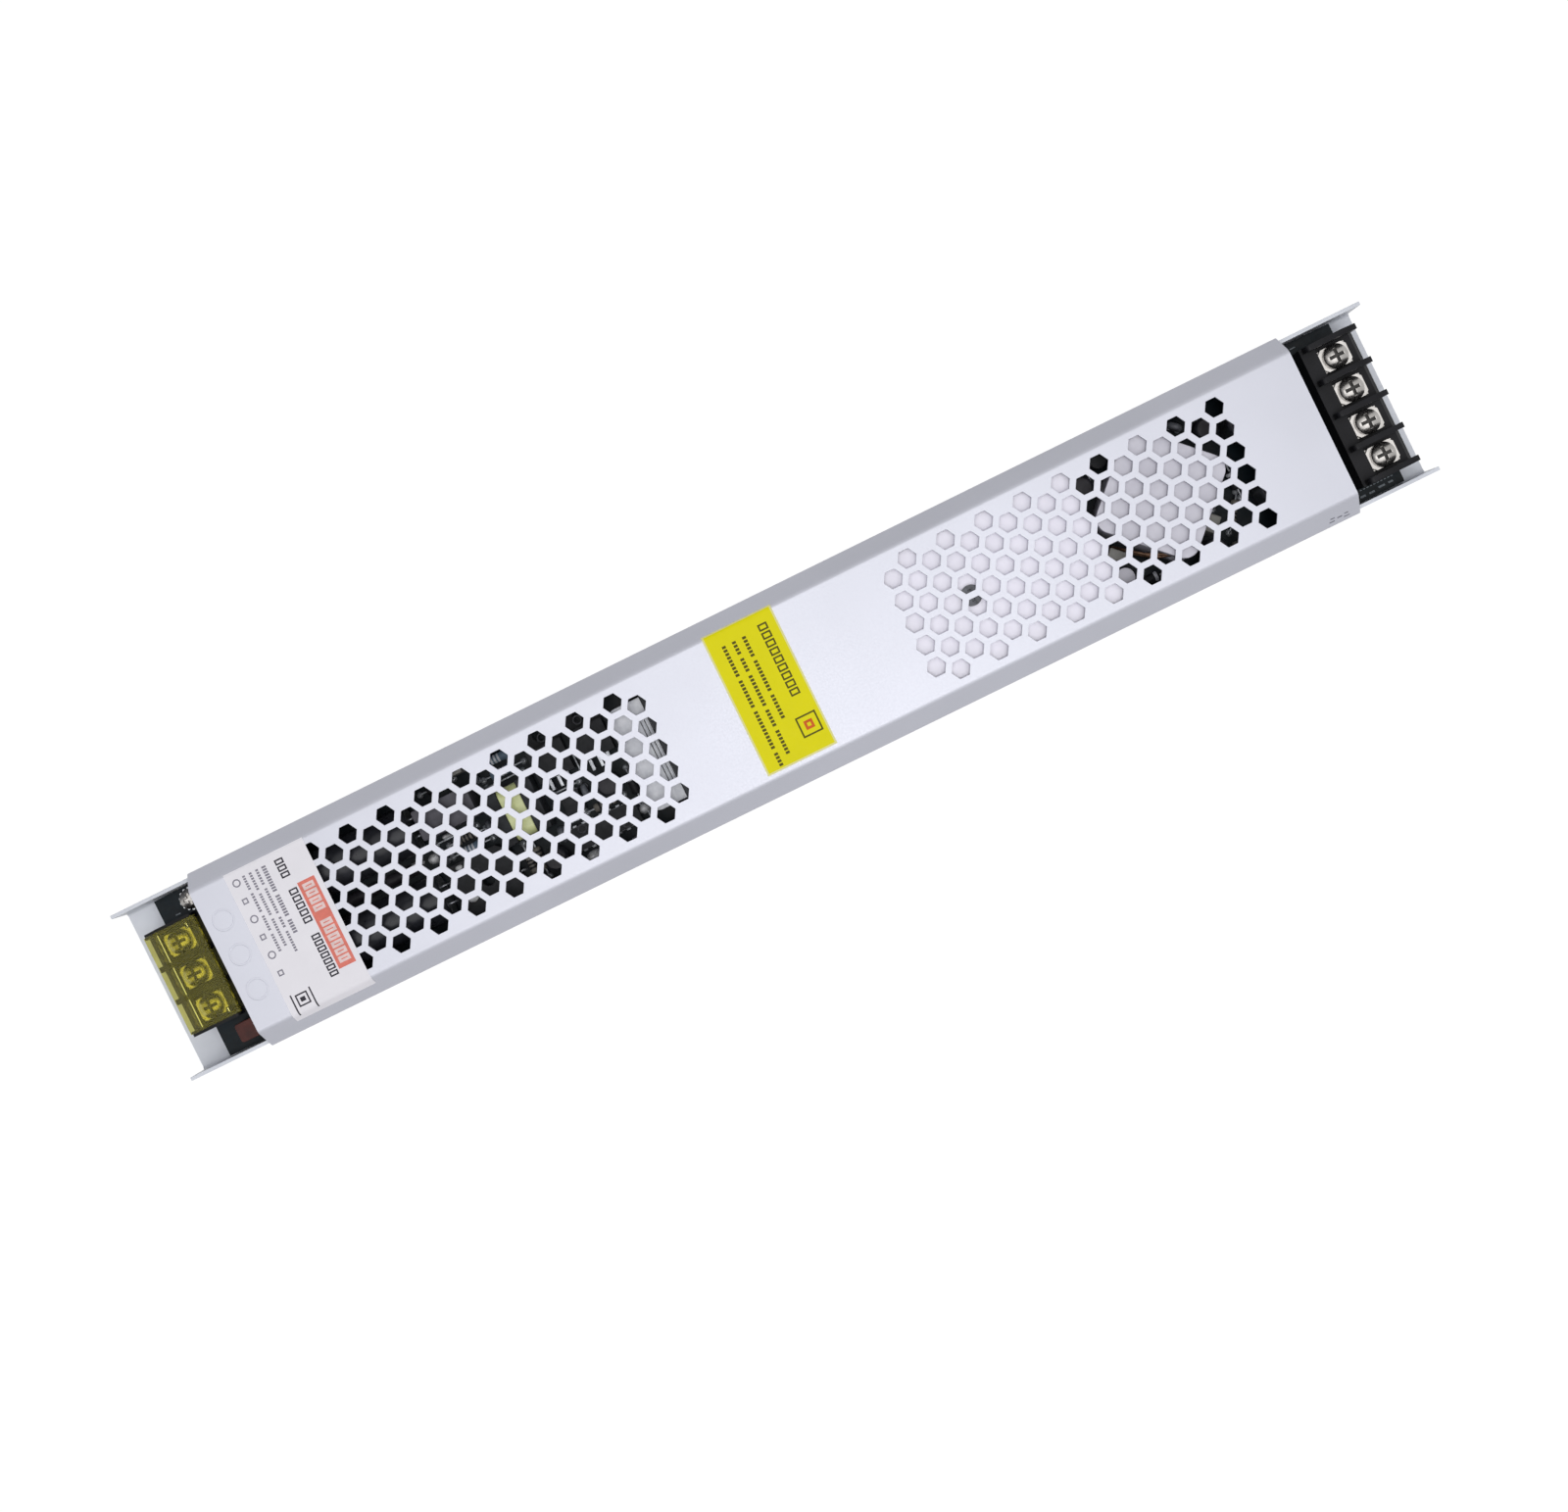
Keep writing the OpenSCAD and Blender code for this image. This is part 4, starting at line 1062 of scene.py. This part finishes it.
class SUPPLY_OT_leads(bpy.types.Operator):
    """Bend the bare leads and jumpers on the board, and the choke's wire ends"""

    bl_idname = "supply.leads"
    bl_label = "Leads and jumpers"

    def run(self, points, radius, material):
        """A wire through points in millimetres."""
        return wire([Vector(point) * MM for point in points], radius, material)

    def eyelet(self, x, y, z):
        """A flat dark eyelet on top of a part."""
        pick()
        bpy.ops.mesh.primitive_torus_add(location=(x, y, z), major_segments=20, minor_segments=8,
                                         major_radius=1.1 * MM, minor_radius=0.24 * MM)
        made = bpy.context.object
        made.scale.z = 0.6
        return coated(smooth(place_in_mesh(made), angle=80), blackened_steel())

    def execute(self, context):
        leads = self.part_legs()
        for jumper in (
            (-64.5, 1.75, -56.3, 1.75), (-54.2, 4.2, -54.2, 10.2), (-64.0, -7.2, -58.8, -7.2),
            (-98.0, 3.4, -86.0, 3.4), (-42.8, -18.6, -42.8, -12.2), (100.6, 12.4, 100.6, 18.4),
            (126.6, -7.6, 131.2, -2.6), (-44.4, -9.6, -42.4, -14.4), (-56.4, -18.8, -49.4, -18.8),
            (-71.0, -20.4, -63.4, -20.4), (-96.4, -20.6, -88.0, -20.6), (-79.0, 11.0, -68.4, 11.0),
            (-79.0, 19.8, -70.0, 19.8),
        ):
            leads += self.jumper(*jumper)
        for x, y, node in (
            (-48.9, 16.6, "main_switches"), (-59.5, 16.6, "main_switches"), (-60.5, -9.9, "control_chip"),
            (-49.2, -13.8, "control_chip"), (-91.0, -8.0, "bridge_rectifier"),
        ):
            leads.append(self.eyelet(x * MM, y * MM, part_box(node)[1].z))
        lay("bare_leads", leads)
        ends = []
        for i in range(4):
            points = [(110.5 - 0.6 * i, -13.5 + 0.4 * i, 12), (106.4 - 0.7 * i, -12.2 + 0.7 * i, 11.4),
                      (102.6 - 0.9 * i, -9.2 + 0.9 * i, 10.2), (100.8 - 0.9 * i, -7.6 + 0.9 * i, 8.6),
                      (100.4 - 0.9 * i, -7.2 + 0.9 * i, DECK / MM)]
            ends.append(self.run(points, 1.5 * parts().lead_radius, enamelled_copper()))
        lay("wire_ends", ends)
        return {"FINISHED"}

    def part_legs(self):
        """The bent legs of the lying capacitors and the bridge rectifier."""
        radius = parts().lead_radius
        low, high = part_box("bulk_capacitors")
        can_radius = (high.z - low.z) / MM / 2
        middle = high.y / MM - can_radius
        made = []
        for y in (middle - 2.5, middle + 2.5, -middle - 2.5, -middle + 2.5):
            made.append(self.leg(high.x / MM, y, DECK / MM + can_radius, (-0.4, 0.7, 1.1), 0.4, radius))
        low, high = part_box("bridge_rectifier")
        middle = (low.z + high.z) / 2 / MM
        for y in (-16.5, -12.9, -9.3, -5.5):
            made.append(self.leg(high.x / MM, y, middle, (-0.5, 0.8, 1.2), 0.5, 1.3 * radius))
        return made

    def leg(self, x, y, z, steps, drop, radius):
        """A leg that leaves a part's end, bends and runs down to the board, with its steps out along X."""
        inside, straight, out = (x + step for step in steps)
        points = [(inside, y, z), (straight, y, z), (out, y, z - drop), (out, y, DECK / MM)]
        return self.run(points, radius, tinned_wire())

    def jumper(self, x0, y0, x1, y1):
        """A bare wire bridge between two soldered feet."""
        deck = DECK / MM
        top, bend = deck + 2.4, deck + 2.0
        in_x, in_y = 0.1 * (x1 - x0), 0.1 * (y1 - y0)
        points = [(x0, y0, deck), (x0, y0, bend), (x0 + in_x, y0 + in_y, top),
                  (x1 - in_x, y1 - in_y, top), (x1, y1, bend), (x1, y1, deck)]
        bridge = self.run(points, parts().lead_radius, tinned_wire())
        return [bridge, solder(x0 * MM, y0 * MM, DECK), solder(x1 * MM, y1 * MM, DECK)]


class SUPPLY_OT_standing_parts(bpy.types.Operator):
    """Stand the ceramic discs, small transistors and film parts on the board"""

    bl_idname = "supply.standing_parts"
    bl_label = "Discs, transistors and film parts"

    def stand(self, name, body, across, top, places):
        """Give a body straight legs with solder, and set copies of it on the board."""
        pieces = [body]
        for y in sizes(*across):
            pieces += [wire([(0, y, 0), (0, y, top)], parts().lead_radius, tinned_wire()), solder(0, y)]
        scatter(name, joined(pieces), places)

    def execute(self, context):
        disc = rod(2.2 * MM, 1.8 * MM, (0, 0, 2.9 * MM), edge=0.75 * MM, sides=24, turn=LYING)
        smooth(coated(disc, dipped_epoxy("grey", "#686b71", "#83868d")), angle=60)
        self.stand("ceramic_discs", disc, (-1.25, 1.25), 1.6 * MM, (
            (-82.4, 1.0, 0), (-97.2, -0.6, 0), (-66.0, -9.0, 0), (-80.4, 15.2, 0), (-55.4, -1.4, 0),
            (126.5, 16.4, 45),
        ))
        half_round = rod(2.3 * MM, 4.6 * MM, (0, 0, 3.5 * MM), edge=0.2 * MM, sides=24)
        flat = 1.2 * MM
        with editing(half_round):
            bpy.ops.mesh.bisect(plane_co=(flat, 0, 0), plane_no=(1, 0, 0), clear_outer=True, use_fill=True)
        smooth(coated(half_round, moulded_epoxy()))
        self.stand("small_transistors", half_round, (-1.27, 0, 1.27), 1.4 * MM,
                   ((-44.4, -19.6, 0), (-74.4, -20.2, 90), (104.2, 17.4, 30)))
        box = block(sizes(3.0, 4.8, 8.2), sizes(0, 0, 4.9), edge=0.4 * MM)
        smooth(coated(box, film_case("stone", "#84827d", "#9b9994")))
        self.stand("film_parts", box, (-1.5, 1.5), 1.2 * MM,
                   ((123.4, -11.0, -45), (97.3, -7.4, 45), (-84.0, 19.0, 90)))
        return {"FINISHED"}


class SUPPLY_OT_glue(bpy.types.Operator):
    """Set the silicone beads that hold tall parts on the board"""

    bl_idname = "supply.glue"
    bl_label = "Silicone beads"

    def execute(self, context):
        board = DECK / MM
        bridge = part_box("bridge_rectifier")[1].z / MM
        spots = (
            (-94.5, -13.4, bridge, 3.2, 2.8, 1.1), (-93.9, 4.2, board, 3.0, 1.7, 6.2),
            (-60.7, -18.0, board, 4.8, 3.6, 8.0), (-53.2, -3.6, board, 2.4, 1.6, 4.2),
            (-105.0, 0.8, board, 4.6, 2.0, 3.6), (-48.9, 21.6, board, 2.6, 1.6, 2.8),
            (-99.6, 0.3, board, 4.0, 3.0, 4.6), (-94.4, -4.8, bridge, 2.0, 1.4, 0.9),
            (-43.4, -12.4, board, 3.6, 3.0, 3.6),
        )
        uneven = 0.12 * MM
        beads = []
        for number, (x, y, z, length_x, width, height) in enumerate(spots):
            made = bead(Vector((x, y, z)) * MM, (length_x * MM, width * MM, 2 * height * MM))
            with editing(made):
                bpy.ops.transform.vertex_random(offset=uneven, seed=number)
            beads.append(smooth(made, angle=80))
        lay("silicone_beads", beads, silicone_bead())
        return {"FINISHED"}


def mark(x, y, size_x, size_y):
    """A printed dash on the board, in millimetres."""
    made = panel((x * MM, y * MM, DECK), size_x * MM, size_y * MM)
    return modify(made, "SOLIDIFY", thickness=stickers().ink, offset=1.0)


class SUPPLY_OT_board_print(bpy.types.Operator):
    """Print the pale lines and small marks that show on the board at both ends"""

    bl_idname = "supply.board_print"
    bl_label = "Board print"

    def execute(self, context):
        marks = [mark(163.9 + 1.0 * i, -20.3, 0.6, 0.22) for i in range(10)]
        for place in (
            (163.8, -22.0, 1.5, 0.5), (166.4, -22.0, 1.5, 0.5), (169.4, -21.6, 1.9, 0.5),
            (172.0, -21.6, 1.3, 0.5), (164.0, 21.4, 1.6, 0.25), (-168.6, 17.2, 1.4, 0.3),
        ):
            marks.append(mark(*place))
        lay("board_marks", marks, sticker_ink("board", linear("#8f969c")))
        return {"FINISHED"}


class SUPPLY_OT_pen_mark(bpy.types.Operator):
    """Leave the small pen strokes on the cover's shoulder by the output"""

    bl_idname = "supply.pen_mark"
    bl_label = "Pen strokes"

    def execute(self, context):
        strokes = []
        for x, reach, size_x, size_y in (
            (150.7, 26.2, 1.5, 0.4), (150.9, 25.0, 1.2, 0.4), (152.9, 25.6, 1.4, 0.4),
            (154.8, 25.2, 1.1, 0.4), (154.9, 26.4, 1.6, 0.35),
        ):
            sides = sizes(x - size_x / 2, x + size_x / 2, -(reach - size_y / 2), -(reach + size_y / 2))
            strokes.append(film(*sides, TACK, stickers().ink))
        lay("pen_strokes", strokes, sticker_ink("pen", linear("#83848c")))
        return {"FINISHED"}


# Stage


class SUPPLY_OT_stage(bpy.types.Operator):
    """Set up the floor, the soft light and the camera over the case"""

    bl_idname = "supply.stage"
    bl_label = "Stage"

    def execute(self, context):
        self.floor()
        self.light(context)
        self.camera(context)
        context.scene.view_settings.view_transform = "Standard"
        return {"FINISHED"}

    def seen(self, tree):
        """1 for rays that show the background: straight to the camera, or by gloss or glass."""
        path = add(tree, "LightPath")
        camera, gloss = path.outputs["Is Camera Ray"], path.outputs["Is Glossy Ray"]
        both = add(tree, "Math", {"operation": "ADD"}, {0: camera, 1: gloss})
        return add(tree, "Math", {"operation": "ADD", "use_clamp": True},
                   {0: both.outputs[0], 1: path.outputs["Is Transmission Ray"]}).outputs[0]

    def floor(self):
        pick()
        bpy.ops.mesh.primitive_plane_add(size=8)
        plane = bpy.context.object
        plane.name = "floor"
        material = bpy.data.materials.new("white_floor")
        material.use_nodes = True
        tree = material.node_tree
        tree.nodes.remove(tree.nodes["Principled BSDF"])
        # a little of the matt floor stays in view, so that a soft shadow shows
        white_share, white_strength = 0.9, 1.1
        share = add(tree, "Math", {"operation": "MULTIPLY"}, {0: self.seen(tree), 1: white_share})
        matt = add(tree, "BsdfDiffuse", None, {"Color": stage().floor_tone})
        white = add(tree, "Emission", None, {"Strength": white_strength})
        mix = add(tree, "MixShader", None, {0: share.outputs[0], 1: matt.outputs[0], 2: white.outputs[0]})
        tree.links.new(mix.outputs[0], tree.nodes["Material Output"].inputs["Surface"])
        plane.data.materials.append(material)

    def light(self, context):
        world = bpy.data.worlds.new("studio")
        world.use_nodes = True
        tree = world.node_tree
        even = tree.nodes["Background"]
        even.inputs["Color"].default_value = linear("#f2f4fa")
        even.inputs["Strength"].default_value = stage().sky
        white = add(tree, "Background", None, {"Color": (1, 1, 1, 1), "Strength": 1.0})
        mix = add(tree, "MixShader", None, {0: self.seen(tree), 1: even.outputs[0], 2: white.outputs[0]})
        tree.links.new(mix.outputs[0], tree.nodes["World Output"].inputs["Surface"])
        context.scene.world = world
        self.lamp("main_lamp", stage().lamp_size, stage().lamp_power, stage().lamp_side)
        self.lamp("key_lamp", stage().key_size, stage().key_power, stage().key_side)

    def lamp(self, name, size, power, side):
        bpy.ops.object.light_add(type="AREA", location=(0, side, stage().lamp_height))
        made = bpy.context.object
        made.name = name
        made.data.shape = "DISK"
        made.data.size = size
        made.data.energy = power

    def camera(self, context):
        bpy.ops.object.camera_add(location=stage().camera_place, rotation=stage().camera_turn)
        camera = bpy.context.object
        camera.data.sensor_width = 36
        camera.data.lens = stage().lens
        camera.data.clip_start = 0.01
        camera.data.clip_end = 50
        context.scene.camera = camera


STEPS = (
    SUPPLY_OT_stage,
    SUPPLY_OT_channel,
    SUPPLY_OT_cover,
    SUPPLY_OT_white_sticker,
    SUPPLY_OT_yellow_sticker,
    SUPPLY_OT_terminals,
    SUPPLY_OT_flap,
    SUPPLY_OT_board,
    SUPPLY_OT_mains_parts,
    SUPPLY_OT_converter_parts,
    SUPPLY_OT_output_parts,
    SUPPLY_OT_axial_parts,
    SUPPLY_OT_leads,
    SUPPLY_OT_standing_parts,
    SUPPLY_OT_glue,
    SUPPLY_OT_board_print,
    SUPPLY_OT_pen_mark,
)


class SUPPLY_PT_panel(bpy.types.Panel):
    """Steps that dress the power supply, in order"""

    bl_idname = "SUPPLY_PT_panel"
    bl_label = "Strip power supply"
    bl_space_type = "VIEW_3D"
    bl_region_type = "UI"
    bl_category = "Supply"

    def draw(self, context):
        for step in STEPS:
            self.layout.operator(step.bl_idname)


SETTINGS = {
    "supply_case": CaseSettings,
    "supply_stickers": StickerSettings,
    "supply_parts": PartSettings,
    "supply_stage": StageSettings,
}
CLASSES = (*SETTINGS.values(), *STEPS, SUPPLY_PT_panel)


def register():
    for made in CLASSES:
        bpy.utils.register_class(made)
    for name, group in SETTINGS.items():
        setattr(bpy.types.Scene, name, bpy.props.PointerProperty(type=group))


def unregister():
    for name in SETTINGS:
        delattr(bpy.types.Scene, name)
    for made in reversed(CLASSES):
        bpy.utils.unregister_class(made)


def main():
    register()
    for step in STEPS:
        group, name = step.bl_idname.split(".")
        getattr(getattr(bpy.ops, group), name)()


if __name__ == "__main__":
    main()
